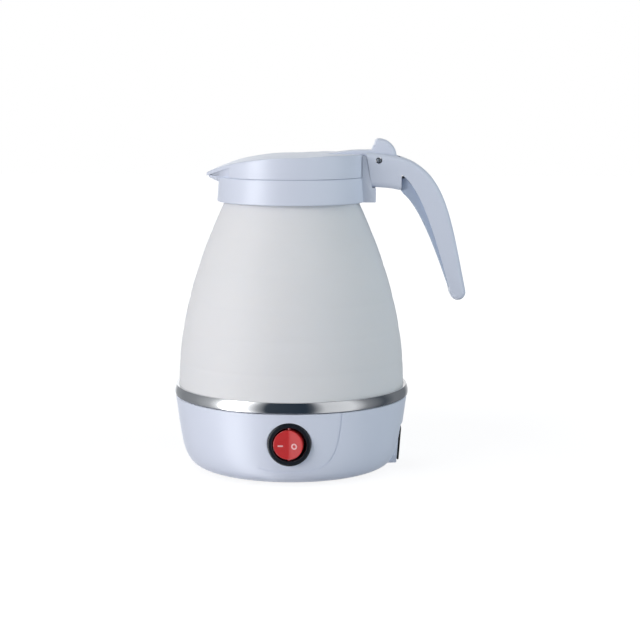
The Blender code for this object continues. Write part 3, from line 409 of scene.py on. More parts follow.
def rod(start, end, radius, steps=64):
    """A round bar between two points."""
    shape = bmesh.new()
    start, end = Vector(start), Vector(end)
    turn = Vector((0, 0, 1)).rotation_difference(end - start).to_matrix().to_4x4()
    bmesh.ops.create_cone(shape, cap_ends=True, segments=steps, radius1=radius, radius2=radius,
                          depth=(end - start).length, matrix=Matrix.Translation((start + end) / 2) @ turn)
    return shape


def roll_edges(shape, edges, radius, steps=6, clamp=False):
    """Round chosen edges; where a radius has no room, clamp keeps it small."""
    bmesh.ops.bevel(shape, geom=edges, offset=radius, offset_type="OFFSET", segments=steps, profile=0.5,
                    affect="EDGES", clamp_overlap=clamp, material=-1)


def round_edges(shape, width, steps=3, sharper_than=50):
    """Round every edge whose faces meet at more than an angle."""
    sharp = [edge for edge in shape.edges
             if len(edge.link_faces) == 2 and edge.calc_face_angle(0) > math.radians(sharper_than)]
    roll_edges(shape, sharp, width, steps, clamp=True)


def cut_plate(outline, low, high, upright=True, rounding=0.0, steps=3):
    """A flat outline given a thickness: across Y if it stands upright in a side view, else up Z."""
    shape = bmesh.new()
    points = [shape.verts.new((across, 0, up) if upright else (across, up, 0)) for across, up in outline]
    shape.faces.new(points)
    drawn = bmesh.ops.extrude_face_region(shape, geom=shape.faces[:])["geom"]
    far = [item for item in drawn if isinstance(item, bmesh.types.BMVert)]
    shift = Vector((0, 1, 0)) if upright else Vector((0, 0, 1))
    bmesh.ops.translate(shape, vec=shift * (high - low), verts=far)
    bmesh.ops.translate(shape, vec=shift * low, verts=shape.verts)
    bmesh.ops.recalc_face_normals(shape, faces=shape.faces)
    if rounding:
        round_edges(shape, rounding, steps)
    return shape


def through_front(near, far, radius):
    """A round bar along the switch's axis."""
    return rod((0, near, SWITCH_Z), (0, far, SWITCH_Z), radius, 96)


def panel_groove():
    """The fine groove round the switch's panel: a slot through the front, kept to the bowl's skin."""
    width, depth = PANEL_GROOVE
    right = [Vector(point) for point in samples(PANEL_EDGE, 32)]
    path = [Vector((-x, z)) for x, z in reversed(right[1:]) if -x > PANEL_FADES] + right
    near, far = [], []
    for number, point in enumerate(path):
        run = path[min(number + 1, len(path) - 1)] - path[max(number - 1, 0)]
        across = Vector((-run.y, run.x)).normalized() * width / 2
        near.append(tuple(point + across))
        far.append(tuple(point - across))
    slot = finished("panel_slot", cut_plate(near + far[::-1], IN_FRONT, IN_FRONT / 2))
    below = [(radius - depth, z) for radius, z in samples(BOWL_CURVE, 60)]
    core = turned([(0, 0)] + below + [(0, BOWL_CURVE[-1][1])], BOWL_STEPS)
    return carve(slot, finished("below_skin", core))


skin = bowl_skin()
outward = sum(face.normal.dot(face.calc_center_median() - Vector((0, 0, 20))) for face in skin.faces)
if outward < 0:
    bmesh.ops.reverse_faces(skin, faces=skin.faces)
press_inlet_pad(skin)
open_inlet_pad(skin)
bowl = finished("base_bowl", skin)
wall = bowl.modifiers.new("moulded wall", "SOLIDIFY")
wall.thickness = BOWL_WALL * 0.001
wall.offset = -1.0
behind_seat = SWITCH_SEAT_Y + BOWL_WALL
backing = finished("seat_backing", through_front(SEAT_BACKING_Y, behind_seat, SWITCH_SEAT + 1.0))
carve(backing, finished("upper_only", block((-20, -70, 0), (20, -50, SWITCH_Z + 4))))
carve(bowl, backing, finished("seat_boss", through_front(SWITCH_SEAT_Y, behind_seat + 1.5, SWITCH_SEAT)),
      operation="UNION")
carve(bowl,
      finished("seat_room", through_front(IN_FRONT, SWITCH_SEAT_Y, SWITCH_SEAT)),
      finished("switch_room", through_front(IN_FRONT, -50.0, SWITCH_HOLE)),
      panel_groove())
hang(bowl, "base", painted_lighter_bowl_abs, ["base_housing"])


# The bottom cover closes the bowl: the same ABS, held by three cross-head screws in counterbored seats. Four
# rubber feet are pressed into it; they are moulded in grey elastomer and stand 1.5 mm proud.
COVER_RADIUS = 46.4
COVER_BOTTOM = 1.6
COVER_TOP = 3.6
SEAT_RADIUS = 3.0
SEAT_DEPTH = 1.4
SCREW_HOLE = 1.5                          # radius of a screw's hole, and below those of its shank and head
SCREW_RADIUS = 1.15
SCREW_HEAD_RADIUS = 2.5
FOOT_HOLE = 2.0
SCREW_CIRCLE = 42.2
SCREW_ANGLES = (90, 210, 330)
FOOT_CIRCLE = 35.0
FOOT_ANGLES = (45, 135, 225, 315)
FOOT_RADIUS = 5.0
RUBBER_GREY = "#6a6d71"
ZINC = "#c3c5c8"


def on_circle(radius, degrees):
    """A place on a circle about the vessel's axis."""
    return radius * math.cos(math.radians(degrees)), radius * math.sin(math.radians(degrees))


def ring_of_rods(name, circle, angles, low, high, radius, steps=32):
    """Upright round bars on a circle about the vessel's axis, to drill or to weld."""
    places = [on_circle(circle, angle) for angle in angles]
    return [finished(name, rod((x, y, low), (x, y, high), radius, steps)) for x, y in places]


def rounded(corners):
    """A closed outline of (x, y, radius) corners, with an arc at each corner that has a radius."""
    outline = []
    for number, (x, y, radius) in enumerate(corners):
        here = Vector((x, y))
        before = (Vector(corners[number - 1][:2]) - here).normalized()
        after = (Vector(corners[(number + 1) % len(corners)][:2]) - here).normalized()
        half = before.angle(after) / 2
        if radius <= 0 or half > math.radians(88):
            outline.append((x, y))
            continue
        centre = here + (before + after).normalized() * radius / math.sin(half)
        first = here + before * radius / math.tan(half) - centre
        last = here + after * radius / math.tan(half) - centre
        count = max(2, round(math.degrees(math.pi - 2 * half) / 12))
        outline += [tuple(centre + first.slerp(last, i / count) * radius) for i in range(count + 1)]
    return outline


cover_profile = rounded([(0, COVER_TOP, 0), (COVER_RADIUS, COVER_TOP, 0.3), (COVER_RADIUS, COVER_BOTTOM, 0.4),
                         (0, COVER_BOTTOM, 0)])
cover = finished("bottom_cover_plate", turned(cover_profile, 160))
carve(cover,
      *ring_of_rods("screw_seat", SCREW_CIRCLE, SCREW_ANGLES, 0, COVER_BOTTOM + SEAT_DEPTH, SEAT_RADIUS, 48),
      *ring_of_rods("screw_room", SCREW_CIRCLE, SCREW_ANGLES, 0, COVER_TOP + 1, SCREW_HOLE),
      *ring_of_rods("foot_room", FOOT_CIRCLE, FOOT_ANGLES, 0, COVER_TOP + 1, FOOT_HOLE))
hang(cover, "base", painted_lighter_bowl_abs, ["bottom_cover"])

# Grey elastomer: matt and a little grainy, so that it grips
foot_rubber = moulded("grey_elastomer_matt", RUBBER_GREY, 0.75, 1.5, 0.5, 0.02, 0.08)
foot_profile = rounded([
    (0, 4.9, 0), (1.7, 4.9, 0.3), (2.7, 3.9, 0.1), (1.7, 3.9, 0), (1.7, 1.4, 0), (FOOT_RADIUS, 1.4, 0.3),
    (FOOT_RADIUS - 0.3, 0, 0.4), (3.2, 0, 0.2), (3.0, 0.35, 0.2), (0, 0.35, 0)])
for number, angle in enumerate(FOOT_ANGLES, 1):
    x, y = on_circle(FOOT_CIRCLE, angle)
    foot = turned(foot_profile, 48, lay=Matrix.Translation((x, y, 0)))
    hang(finished(f"foot_{number}", foot), "base", foot_rubber, [f"rubber_foot_{number}"])


def bright_metal(name, colour, roughness, scratch_mm, scratch_height_mm, stretch=(1, 1, 1)):
    """A metal whose surface carries the fine lines of how it was made, drawn long in one direction."""
    finish, tree, shader, place = new_finish(name)
    laid = add(tree, "ShaderNodeMapping", {"Vector": place, "Location": (-AXIS_X, 0, 0), "Scale": stretch})
    lines = add(tree, "ShaderNodeTexNoise", {"Vector": laid.outputs[0], "Scale": 1000 / scratch_mm,
                                             "Detail": 3.0})
    feed(tree, shader, {"Base Color": linear(colour), "Metallic": 1.0})
    texture(tree, shader, lines.outputs["Fac"], scratch_height_mm, roughness * 0.75, roughness * 1.25)
    return finish


# Zinc plated steel: bright but slightly clouded, from a barrel of small parts
zinc_plate = bright_metal("zinc_plated_steel", ZINC, 0.3, 0.4, 0.004)


def cross_head_screw(name, place, head_radius, head, shank_radius, length):
    """A pan head screw that faces down; its cross is cut with two crossed bars."""
    profile = rounded([
        (0, length, 0), (shank_radius, length - 0.8, 0), (shank_radius, 0, 0), (head_radius, 0, 0.1),
        (head_radius * 0.92, -head, 0.5), (0, -head, 0)])
    lay = Matrix.Translation(place)
    screw = finished(name, turned(profile, 40, lay=lay))
    reach, thick = head_radius * 0.55, head_radius * 0.11
    bars = [block((-reach, -thick, -head - 1), (reach, thick, -head * 0.35), lay),
            block((-thick, -reach, -head - 1), (thick, reach, -head * 0.35), lay)]
    return carve(screw, *[finished(name + "_slot", bar) for bar in bars])


def drive_screws(owner, body, circle, angles, height, head, length):
    """The screws on a circle about the vessel's axis, with the underside of their heads at a height."""
    for number, angle in enumerate(angles, 1):
        screw = cross_head_screw(f"{owner}_screw_head_{number}", (*on_circle(circle, angle), height),
                                 SCREW_HEAD_RADIUS, head, SCREW_RADIUS, length)
        hang(screw, body, zinc_plate, [f"{owner}_screw_{number}"])


drive_screws("cover", "base", SCREW_CIRCLE, SCREW_ANGLES, 2.8, head=1.0, length=6.6)


# The trim ring is pressed from stainless strip, polished, and hides where bowl and silicone meet. It bulges
# outwards and is slightly wider at its foot than at its top.
RING_CURVE = ((64.5, 47.4), (65.2, 46.2), (65.9, 44.0), (65.5, 42.1))
RING_SHEET = 0.6
RING_LIP = 63.0                           # radius to which its top lip reaches in over the silicone
STAINLESS = "#d2d3d5"
ring_outside = samples(RING_CURVE, 16)
ring_inside = [(radius - RING_SHEET, height) for radius, height in reversed(ring_outside[1:])]
ring_top = RING_CURVE[0][1]
ring_profile = [(RING_LIP, ring_top)] + ring_outside + ring_inside + [(RING_LIP, ring_top - RING_SHEET)]
# Polished stainless steel: nearly a mirror, with faint lines that run round it from the polishing wheel
polished_steel = bright_metal("polished_stainless_steel", STAINLESS, 0.09, 0.5, 0.0008, (0.05, 0.05, 1.0))
trim_ring = finished("trim_ring", turned(ring_profile, 256))
hang(trim_ring, "base", polished_steel, ["steel_ring"])


# The vessel's floor is a deep drawn stainless pan whose flange is clamped on the silicone's bead. Its inside
# is brushed in rings. Below it, out of sight, are the cast heater, its guards, the leads and the clamp.
PAN_FLOOR = 36.3
PAN_RADIUS = 54.8
PAN_SHEET = 0.8
FLANGE_RADIUS = 61.4
FLANGE_TOP = 42.5
FLANGE_SHEET = 0.6
PAN_STEEL = "#bfc1c4"
flange_bottom = FLANGE_TOP - FLANGE_SHEET
pan_profile = rounded([
    (0, PAN_FLOOR, 0), (PAN_RADIUS - PAN_SHEET, PAN_FLOOR, 2.4), (PAN_RADIUS - PAN_SHEET, FLANGE_TOP, 0.8),
    (FLANGE_RADIUS, FLANGE_TOP, 0.2), (FLANGE_RADIUS, flange_bottom, 0.2), (PAN_RADIUS, flange_bottom, 0.4),
    (PAN_RADIUS, PAN_FLOOR - PAN_SHEET, 2.4), (0, PAN_FLOOR - PAN_SHEET, 0)])
# Brushed stainless: the brush turned with the pan, so the lines are rings
brushed_steel, tree, shader, place = new_finish("ring_brushed_stainless_steel")
centred = add(tree, "ShaderNodeMapping", {"Vector": place, "Location": (-AXIS_X, 0, 0), "Scale": (1, 1, 0)})
reach = add(tree, "ShaderNodeVectorMath", {0: centred.outputs[0]}, operation="LENGTH")
lines = add(tree, "ShaderNodeTexNoise", {"W": reach.outputs["Value"], "Scale": 1000 / 0.3, "Detail": 3.0},
            noise_dimensions="1D")
feed(tree, shader, {"Base Color": linear(PAN_STEEL), "Metallic": 1.0})
texture(tree, shader, lines.outputs["Fac"], 0.006, 0.2, 0.36)
pan = finished("vessel_floor", turned(pan_profile, 192))
hang(pan, "base", brushed_steel, ["heating_pan"])

# What the base and the handle hide keeps its construction shape: sand-cast aluminium, a heater tube dulled by
# heat, phenolic guards, tinned blades and small screws, PVC covered leads
tinned_parts = [f"switch_terminal_{number}" for number in (1, 2, 3)]
tinned_parts += [f"clamp_nut_{number}" for number in (1, 2, 3, 4)] + ["handle_screw_1", "handle_screw_2"]
hidden = {
    bright_metal("cast_aluminium", "#b5b7ba", 0.5, 0.8, 0.03): ["heat_spreader"],
    bright_metal("heat_dulled_steel", "#8d8880", 0.38, 0.6, 0.01): ["heating_element", "thermal_fuse"],
    bright_metal("tinned_steel", "#b9bbbd", 0.32, 0.3, 0.004): tinned_parts,
    moulded("black_phenolic", "#2a2826", 0.55, 1.6, 0.7, 0.01, 0.1): ["boil_thermostat", "dry_boil_cutout"],
    moulded("brown_pvc", "#6b3d22", 0.45, 1.53, 0.6, 0.006): ["live_wire"],
    moulded("blue_pvc", "#2b5fa8", 0.45, 1.53, 0.6, 0.006): ["neutral_wire"],
    moulded("green_pvc", "#4f9a3c", 0.45, 1.53, 0.6, 0.006): ["earth_wire"],
    painted_lighter_bowl_abs: ["clamp_ring", "neck_clamp_ring"],
}
for finish, names in hidden.items():
    for name in names:
        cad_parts[name].data.materials.clear()
        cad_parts[name].data.materials.append(finish)


# The silicone body is one compression moulding, milk white, about 2 mm thick, with beads at both ends. Thin
# rings between its bands let it fold: they show as faint grooves. When it folds, its foot stays with the base
# and its neck goes down with the collar; here it is one piece that rides on no body.
SKIN_CURVE = ((62.8, 47.7), (62.8, 76.0), (56.0, 109.0), (36.6, 150.0))
SKIN_WALL = 1.8
FOLD_LINES = (61.0, 78.5, 95.5, 113.5, 132.0)
FOLD_GROOVE = 0.12                        # depth of a groove
FOLD_HALF = 1.5                           # half of its width
BAND_SWELL = 0.08                         # how far a band stands out between grooves
SILICONE = ("#e1e3e5", "#e6e7e8")         # the colours that its faint clouds lie between


def skin_radius(height):
    """The outer radius, with its grooves and the slight swell of each band between them."""
    radius = along(SKIN_CURVE, place_on(SKIN_CURVE, height))[0]
    for line in FOLD_LINES:
        away = (height - line) / FOLD_HALF
        radius -= FOLD_GROOVE * math.exp(-away * away)
    above = [line for line in FOLD_LINES if line > height]
    below = [line for line in FOLD_LINES if line <= height]
    if above and below:
        share = (height - below[-1]) / (above[0] - below[-1])
        radius += BAND_SWELL * math.sin(math.pi * share)
    return radius


def inner_radius(height):
    """The inside is plain, without grooves."""
    return along(SKIN_CURVE, place_on(SKIN_CURVE, height))[0] - SKIN_WALL


skin_foot, skin_top = SKIN_CURVE[0][1], SKIN_CURVE[-1][1]
heights = [skin_foot + (skin_top - skin_foot) * i / 144 for i in range(145)]
skin_outside = [(skin_radius(z), z) for z in reversed(heights)]
skin_inside = [(inner_radius(z), z) for z in heights[::2]]
neck_bead = rounded([
    (34.8, 150.0, 0), (34.8, 155.5, 0.4), (38.1, 155.5, 0.4), (38.1, 152.7, 0.4), (36.7, 152.1, 0)])
root_bead = rounded([
    (62.8, 47.0, 0), (62.9, 45.9, 0), (64.0, 45.5, 0.3), (64.0, 42.8, 0.3), (57.6, 42.8, 0.3),
    (57.6, 44.2, 0.5), (60.6, 45.8, 0)])
skin_profile = neck_bead[1:] + skin_outside + root_bead + skin_inside
# Silicone rubber, milk white and unpigmented enough to let light a little way in; a mould blasted matt leaves
# a fine grain, drawn coarser here than the real 0.05 mm so that it shows
silicone, tree, shader, place = new_finish("milk_white_silicone_rubber")
cloud = add(tree, "ShaderNodeTexNoise", {"Vector": place, "Scale": 1000 / 35.0, "Detail": 3.0})
grain = add(tree, "ShaderNodeTexNoise", {"Vector": place, "Scale": 1000 / 0.45, "Detail": 2.0})
tint = add(tree, "ShaderNodeMix", data_type="RGBA",
           inputs={0: cloud.outputs["Fac"], 6: linear(SILICONE[0]), 7: linear(SILICONE[1])})
texture(tree, shader, grain.outputs["Fac"], 0.012, 0.5, 0.62)
feed(tree, shader, {
    "Base Color": tint.outputs[2], "IOR": 1.41, "Subsurface Weight": 0.3, "Subsurface Scale": 0.0025,
    "Subsurface Radius": (1.0, 0.9, 0.8), "Sheen Weight": 0.12, "Sheen Roughness": 0.5})
body = finished("silicone_body", turned(skin_profile, 224), crease=50)
hang(body, None, silicone, ["silicone_lower_wall", "silicone_fold", "silicone_neck"])
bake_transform(body)


# The collar is the rigid ring that holds the neck: one ABS moulding with the mouth's lip, a pouring beak in
# front and a saddle behind that the handle is screwed to. Its wall leans in a little towards the top.
COLLAR_BOTTOM = 149.1
COLLAR_TOP = 162.8
COLLAR_RADII = (41.3, 40.2)
COLLAR_WALL = 1.8
COLLAR_ROOF = 1.2                         # how thick its level top is
MOUTH_RADIUS = 33.0
MOUTH_LIP = 1.4                           # how thick the lip round the mouth is
MOUTH_BOTTOM = 151.5
NECK_ROOM = 39.45                         # radii kept free for the neck, and for the lid's inner plate
PLATE_ROOM = 36.2
SADDLE_HALF = 12.0
SADDLE_TOP = 174.3
LID_RADIUS = 40.2
LID_WALL = 1.8
LID_BOTTOM = 162.92
SEAM_CLOSES = 0.08                        # the skirt reaches lower at the spout by this much
LID_TOP = 174.8
LID_PLATE = 2.0
BEAK_TIP = -47.1
BEAK_ROOT = -33.4
BEAK_DROP = 10.0
BEAK_POWER = 2.2
TOP_WHITE = "#d9e0ee"
BOW_TOP = 172.7                           # the bow ends 0.1 mm below the lid's plate
BOW_FOOT_RADIUS = 38.0
SCREW_HEIGHT = 159.6
SCREW_SIDE = 9.6
SLOT_HALF = 7.4


def wrapped(points):
    """The tight skin round a set of points."""
    shape = bmesh.new()
    for point in points:
        shape.verts.new(point)
    found = bmesh.ops.convex_hull(shape, input=shape.verts)
    bmesh.ops.delete(shape, geom=list(set(found["geom_interior"] + found["geom_unused"])), context="VERTS")
    bmesh.ops.recalc_face_normals(shape, faces=shape.faces)
    return shape


def plate_drop(x):
    """How far the lid's plate has fallen below its rim at a place along the spout."""
    return BEAK_DROP * max(0.0, x / BEAK_TIP) ** BEAK_POWER


def bow(inset, raised, bottom):
    """The body below the lid's beak, wide at the collar and pointed at the tip; a smaller one hollows it."""
    root_half = math.sqrt(LID_RADIUS ** 2 - BEAK_ROOT ** 2)
    first, last = BEAK_ROOT + 0.6, BEAK_TIP + 1.2 + inset
    points = []
    for i in range(17):
        x = first + (last - first) * i / 16
        share = (x - BEAK_ROOT) / (BEAK_TIP + 0.6 - BEAK_ROOT)
        half = max(root_half + (1.2 - root_half) * share - 1.2 - inset, 0.4)
        height = BOW_TOP - plate_drop(x) + raised
        points += [(x, half, height), (x, -half, height)]
    for side in (-1, 1):
        points += [(-27.0, side * 19, BOW_TOP - plate_drop(-27.0) + raised), (-27.0, side * 19, bottom)]
    for i in range(29):
        x, y = on_circle(BOW_FOOT_RADIUS - inset, 145 + 70 * i / 28)
        points.append((x, y, bottom))
    return wrapped(points)


def pillar(name, low, high, radius):
    """An upright bar on the vessel's axis, to clear room with."""
    return finished(name, rod((0, 0, low), (0, 0, high), radius, 192))


def screw_rooms(start, end):
    """Bars that drill for the handle's two screws, which run along the kettle."""
    spots = [(side * SCREW_SIDE, SCREW_HEIGHT) for side in (-1, 1)]
    return [finished("screw_room", rod((start, *spot), (end, *spot), SCREW_HOLE)) for spot in spots]


foot_radius, top_radius = COLLAR_RADII
below_roof = COLLAR_TOP - COLLAR_ROOF
outside_lip = MOUTH_RADIUS + MOUTH_LIP
collar_profile = rounded([
    (top_radius, COLLAR_TOP, 1.1), (foot_radius, COLLAR_BOTTOM, 0.6),
    (foot_radius - COLLAR_WALL, COLLAR_BOTTOM, 0.4), (top_radius - COLLAR_WALL, below_roof, 0.4),
    (outside_lip, below_roof, 0.4), (outside_lip, MOUTH_BOTTOM, 0.4), (MOUTH_RADIUS, MOUTH_BOTTOM, 0.4),
    (MOUTH_RADIUS, COLLAR_TOP, 0.6)])
saddle_foot = COLLAR_BOTTOM + 0.05
saddle_outline = rounded([
    (36, saddle_foot, 0), (46.3, saddle_foot, 0.6), (46.3, 157.0, 0.4), (44.2, 157.2, 0.4),
    (40.9, SADDLE_TOP, 0.5), (36, SADDLE_TOP, 0)])
saddle = finished("saddle", cut_plate(saddle_outline, -SADDLE_HALF, SADDLE_HALF, rounding=0.25, steps=2))
carve(saddle,
      pillar("lid_room", COLLAR_TOP, 190, LID_RADIUS + 0.3),
      finished("arm_room", block((30, -SLOT_HALF, COLLAR_TOP), (60, SLOT_HALF, 190))),
      pillar("neck_room", 140, below_roof, NECK_ROOM))
beak = finished("beak", bow(0.0, 0.0, COLLAR_TOP - 0.6))
skirt_inside = LID_RADIUS - LID_WALL - 0.3
skirt_room = finished("skirt_room", turned([(LID_RADIUS + 2, 180), (LID_RADIUS + 2, COLLAR_TOP),
                                            (skirt_inside, COLLAR_TOP), (skirt_inside, 180)]))
carve(skirt_room, finished("spout_side", block((-60, -60, 150), (BEAK_ROOT - 0.05, 60, 190))))
carve(beak, skirt_room)
keel = finished("keel", wrapped([(-38.5, side * 9, COLLAR_TOP - 0.5) for side in (-1, 1)]
                                + [(-40.6, side * 0.9, 159.6) for side in (-1, 1)] + [(-38.5, 0, 159.6)]
                                + [(-45.9, side * 0.6, z) for side in (-1, 1) for z in (162.2, 163.2)]
                                + [(-41.5, side * 5, 163.4) for side in (-1, 1)]))
collar = finished("collar", turned(collar_profile, 192))
carve(collar, saddle, beak, keel, operation="UNION")
carve(collar,
      finished("trough", bow(1.7, 3.0, COLLAR_TOP)),
      pillar("mouth_room", 140, 170, MOUTH_RADIUS),
      pillar("plate_room", COLLAR_TOP + 0.1, 190, PLATE_ROOM),
      *screw_rooms(30, 50))
# ABS again, the same as the bowl's, whose white is painted a shade lighter as painted light; the same satin
# gloss
white_abs = moulded("white_abs_satin_mould", TOP_WHITE, 0.34, 1.54, 1.6, 0.0006)
hang(collar, "top", white_abs, ["collar_ring"])


# The lid is an ABS cap with a skirt, a plate that runs out into a drooping beak, and at the back an arm round
# the hinge pin that ends in a thumb tab.
BEAK_SLICES = 30
UNDER_PLATE = LID_TOP - LID_PLATE
RIM_ROUNDING = 0.9
LID_CROWN = ((-34, 0.0), (-16, -0.45), (2, -0.5), (12, 0.0), (20, 0.5), (36, 0.55), (42, 0.0))
CROWN_SLICES = range(2, 42, 4)            # where the plate is cut across so that it can follow its crown
PIN = (47.8, 172.1)
TAB_CENTRE = (47.9, 174.0)
TAB_RADIUS = 9.8
TAB_ROUNDING = 2.4
ARM_HALF = 7.0
PIN_HOLE = 1.7
INNER_PLATE_TOP = 166.6
LID_SCREW_CIRCLE = 24.0
LID_SCREW_ANGLES = (0, 120, 240)
BOSS_RADIUS = 3.2


def pin_room():
    """A bar that drills for the hinge pin."""
    return finished("pin_room", rod((PIN[0], -20, PIN[1]), (PIN[0], 20, PIN[1]), PIN_HOLE))


def arc(centre, radius, start, end, count):
    """Points of an arc in degrees, both ends included."""
    angles = [math.radians(start + (end - start) * i / (count - 1)) for i in range(count)]
    return [(centre[0] + radius * math.cos(a), centre[1] + radius * math.sin(a)) for a in angles]


def crown(x):
    """How far the lid's top stands above a level plate, by a smooth line through a few heights."""
    for (x1, rise1), (x2, rise2) in zip(LID_CROWN, LID_CROWN[1:]):
        if x1 <= x <= x2:
            share = (x - x1) / (x2 - x1)
            return rise1 + (rise2 - rise1) * share * share * (3 - 2 * share)
    return 0.0


def edges_on(shape, outline):
    """The edges on both sides of an upright plate that run along a stretch of its outline."""
    spots = {(round(x, 3), round(z, 3)) for x, z in outline}
    return [edge for edge in shape.edges if edge.verts[0].co.y * edge.verts[1].co.y > 0
            and all((round(v.co.x, 3), round(v.co.z, 3)) in spots for v in edge.verts)]


beak_angle = math.degrees(math.atan2(math.sqrt(LID_RADIUS ** 2 - BEAK_ROOT ** 2), BEAK_ROOT))
lid_outline = arc((0, 0), LID_RADIUS, -beak_angle, beak_angle, 168)
lid_outline += [(BEAK_TIP + 0.6, 1.2), (BEAK_TIP, 0.5), (BEAK_TIP, -0.5), (BEAK_TIP + 0.6, -1.2)]
cap = cut_plate(lid_outline, LID_BOTTOM, LID_TOP, upright=False)
for point in cap.verts:
    if point.co.z < LID_BOTTOM + 1:
        point.co.z -= SEAM_CLOSES * (1 - min(max(point.co.x / LID_RADIUS, -1), 1)) / 2
rim = [edge for edge in cap.edges if all(abs(v.co.z - LID_TOP) < 0.001 for v in edge.verts)]
roll_edges(cap, rim, RIM_ROUNDING, 4, clamp=True)
lid = finished("lid_cap", cap)
carve(lid,
      pillar("lid_hollow", 160, UNDER_PLATE, LID_RADIUS - LID_WALL),
      finished("spout_gap", block((-60, -30, 160), (BEAK_ROOT + 0.05, 30, UNDER_PLATE))))
arm_outline = [(15, LID_TOP - 0.9), (16, LID_TOP - 0.05), (26, 175.9), (33, 176.7), (44.0, 177.5),
               (45.0, 180.0), (46.2, 182.8)]
tab_arc = arc(TAB_CENTRE, TAB_RADIUS, 92, 2, 22)
arm_outline += tab_arc
arm_outline += [(53.6, 168.6)] + arc(PIN, 5.6, -35, -120, 8)
arm_outline += [(42.6, 165.2), (41.0, LID_BOTTOM + 0.4), (37.0, LID_BOTTOM + 0.4), (37.0, UNDER_PLATE + 0.6)]
arm_shape = cut_plate(arm_outline, -ARM_HALF, ARM_HALF)
roll_edges(arm_shape, edges_on(arm_shape, arm_outline[:6]), 0.8, 3)
roll_edges(arm_shape, edges_on(arm_shape, tab_arc), TAB_ROUNDING)
arm = finished("lid_arm", arm_shape)
bosses = ring_of_rods("screw_boss", LID_SCREW_CIRCLE, LID_SCREW_ANGLES, INNER_PLATE_TOP + 0.3,
                      UNDER_PLATE + 0.5, BOSS_RADIUS, 40)
carve(lid, arm, *bosses, operation="UNION")
drills = ring_of_rods("screw_room", LID_SCREW_CIRCLE, LID_SCREW_ANGLES, 160, UNDER_PLATE - 0.8, SCREW_HOLE)
carve(lid, pin_room(), *drills)
shape = bmesh.new()
shape.from_mesh(lid.data)
slices = [BEAK_TIP * number / BEAK_SLICES for number in range(1, BEAK_SLICES)]
for cut in [*slices, *CROWN_SLICES]:
    x = cut * 0.001 + AXIS_X
    everything = shape.verts[:] + shape.edges[:] + shape.faces[:]
    bmesh.ops.bisect_plane(shape, geom=everything, dist=0.0000005, plane_co=(x, 0, 0), plane_no=(1, 0, 0))
bmesh.ops.triangulate(shape, faces=[face for face in shape.faces if len(face.verts) > 4])
for point in shape.verts:
    x = (point.co.x - AXIS_X) * 1000
    if point.co.z > (UNDER_PLATE - 1.0) * 0.001:
        point.co.z += (crown(x) - plate_drop(x)) * 0.001
shape.to_mesh(lid.data)
shape.free()
shade(lid.data, crease=28)
hang(lid, "lid", white_abs, ["lid_cover"])

# Under the lid an inner plate with a hanging rim closes the mouth; a silicone lip seal is stretched round the
# rim, and three screws hold the plate to the cap's bosses.
PLATE = 1.8
PLATE_RADIUS = 35.5
RIM_RADIUS = 31.0
RIM_WALL = 1.5
RIM_BOTTOM = 158.0
plate_bottom = INNER_PLATE_TOP - PLATE
inner_profile = rounded([
    (0, INNER_PLATE_TOP, 0), (PLATE_RADIUS, INNER_PLATE_TOP, 0.5), (PLATE_RADIUS, plate_bottom, 0.5),
    (RIM_RADIUS, plate_bottom, 0.5), (RIM_RADIUS, RIM_BOTTOM, 0.5), (RIM_RADIUS - RIM_WALL, RIM_BOTTOM, 0.5),
    (RIM_RADIUS - RIM_WALL, plate_bottom, 0.8), (0, plate_bottom, 0)])
inner_plate = finished("lid_inner_cover", turned(inner_profile, 160))
carve(inner_plate,
      finished("pour_notch", block((-40, -12, 150), (-22, 12, plate_bottom))),
      finished("front_trim", block((-50, -40, 150), (-33.0, 40, 180))),
      *ring_of_rods("screw_room", LID_SCREW_CIRCLE, LID_SCREW_ANGLES, 160, 175, SCREW_HOLE, 64))
hang(inner_plate, "lid", white_abs, ["lid_inner_plate"])
seal_profile = rounded([
    (31.3, 163.8, 0.1), (31.9, 163.2, 0.2), (32.2, 161.9, 0.2), (31.8, 160.8, 0.2), (31.3, 160.4, 0.1)])
seal = finished("lid_seal", turned(seal_profile, 160))
carve(seal, finished("seal_gap", block((-50, -12.2, 150), (-20, 12.2, 180))))
hang(seal, "lid", silicone, ["lid_gasket"])
drive_screws("lid", "lid", LID_SCREW_CIRCLE, LID_SCREW_ANGLES, plate_bottom - 0.25, head=1.2, length=6.2)


# The handle is two ABS mouldings: an outer shell whose two cheeks hold the hinge pin, rounded along its back,
# and a narrower piece let into its hollow side, the recess, whose grey colour is painted shade for the dark
# under the hand.
HANDLE_OUTER = ((58.4, 174.2), (84.7, 168.3), (87.7, 141.3), (96.6, 100.3))
HANDLE_INNER = ((56.1, 156.5), (67.9, 154.1), (78.2, 127.9), (88.1, 99.7))
HANDLE_FLANGE = ((60.2, 164.4), (71.6, 157.4), (79.7, 128.5), (88.1, 99.7))
HANDLE_TIP = (92.4, 99.1)
TIP_RADIUS = 4.3
HALF_AT_TIP = 9.0
HALF_AT_ROOT = 12.5
TIP_HEIGHT = 95.0
ROOT_HEIGHT = 167.0
GRIP_INSET = 3.2
CHANNEL_SHARE = 0.32                      # how far from the back towards the front its channel begins
CHEEK_END = 60.2
BACK_ROUNDING = 3.2
BELLY_ROUNDING = 3.6
SLOT_RADIUS = 12.5
RAIL_POINTS = 40
# painted shade: the inlay's grey stands for the shade in the handle's recess
INLAY_PAINTED_SHADE_GREY = "#b2c0d5"


def handle_half(z):
    """Half of the handle's width at a height."""
    slope = (HALF_AT_ROOT - HALF_AT_TIP) / (ROOT_HEIGHT - TIP_HEIGHT)
    return HALF_AT_TIP + (z - TIP_HEIGHT) * slope


def between(first, second, share, count):
    """Points that lie a share of the way from one rail to another."""
    pairs = zip(samples(first, count), samples(second, count))
    return [tuple(a + (b - a) * share for a, b in zip(p, q)) for p, q in pairs]


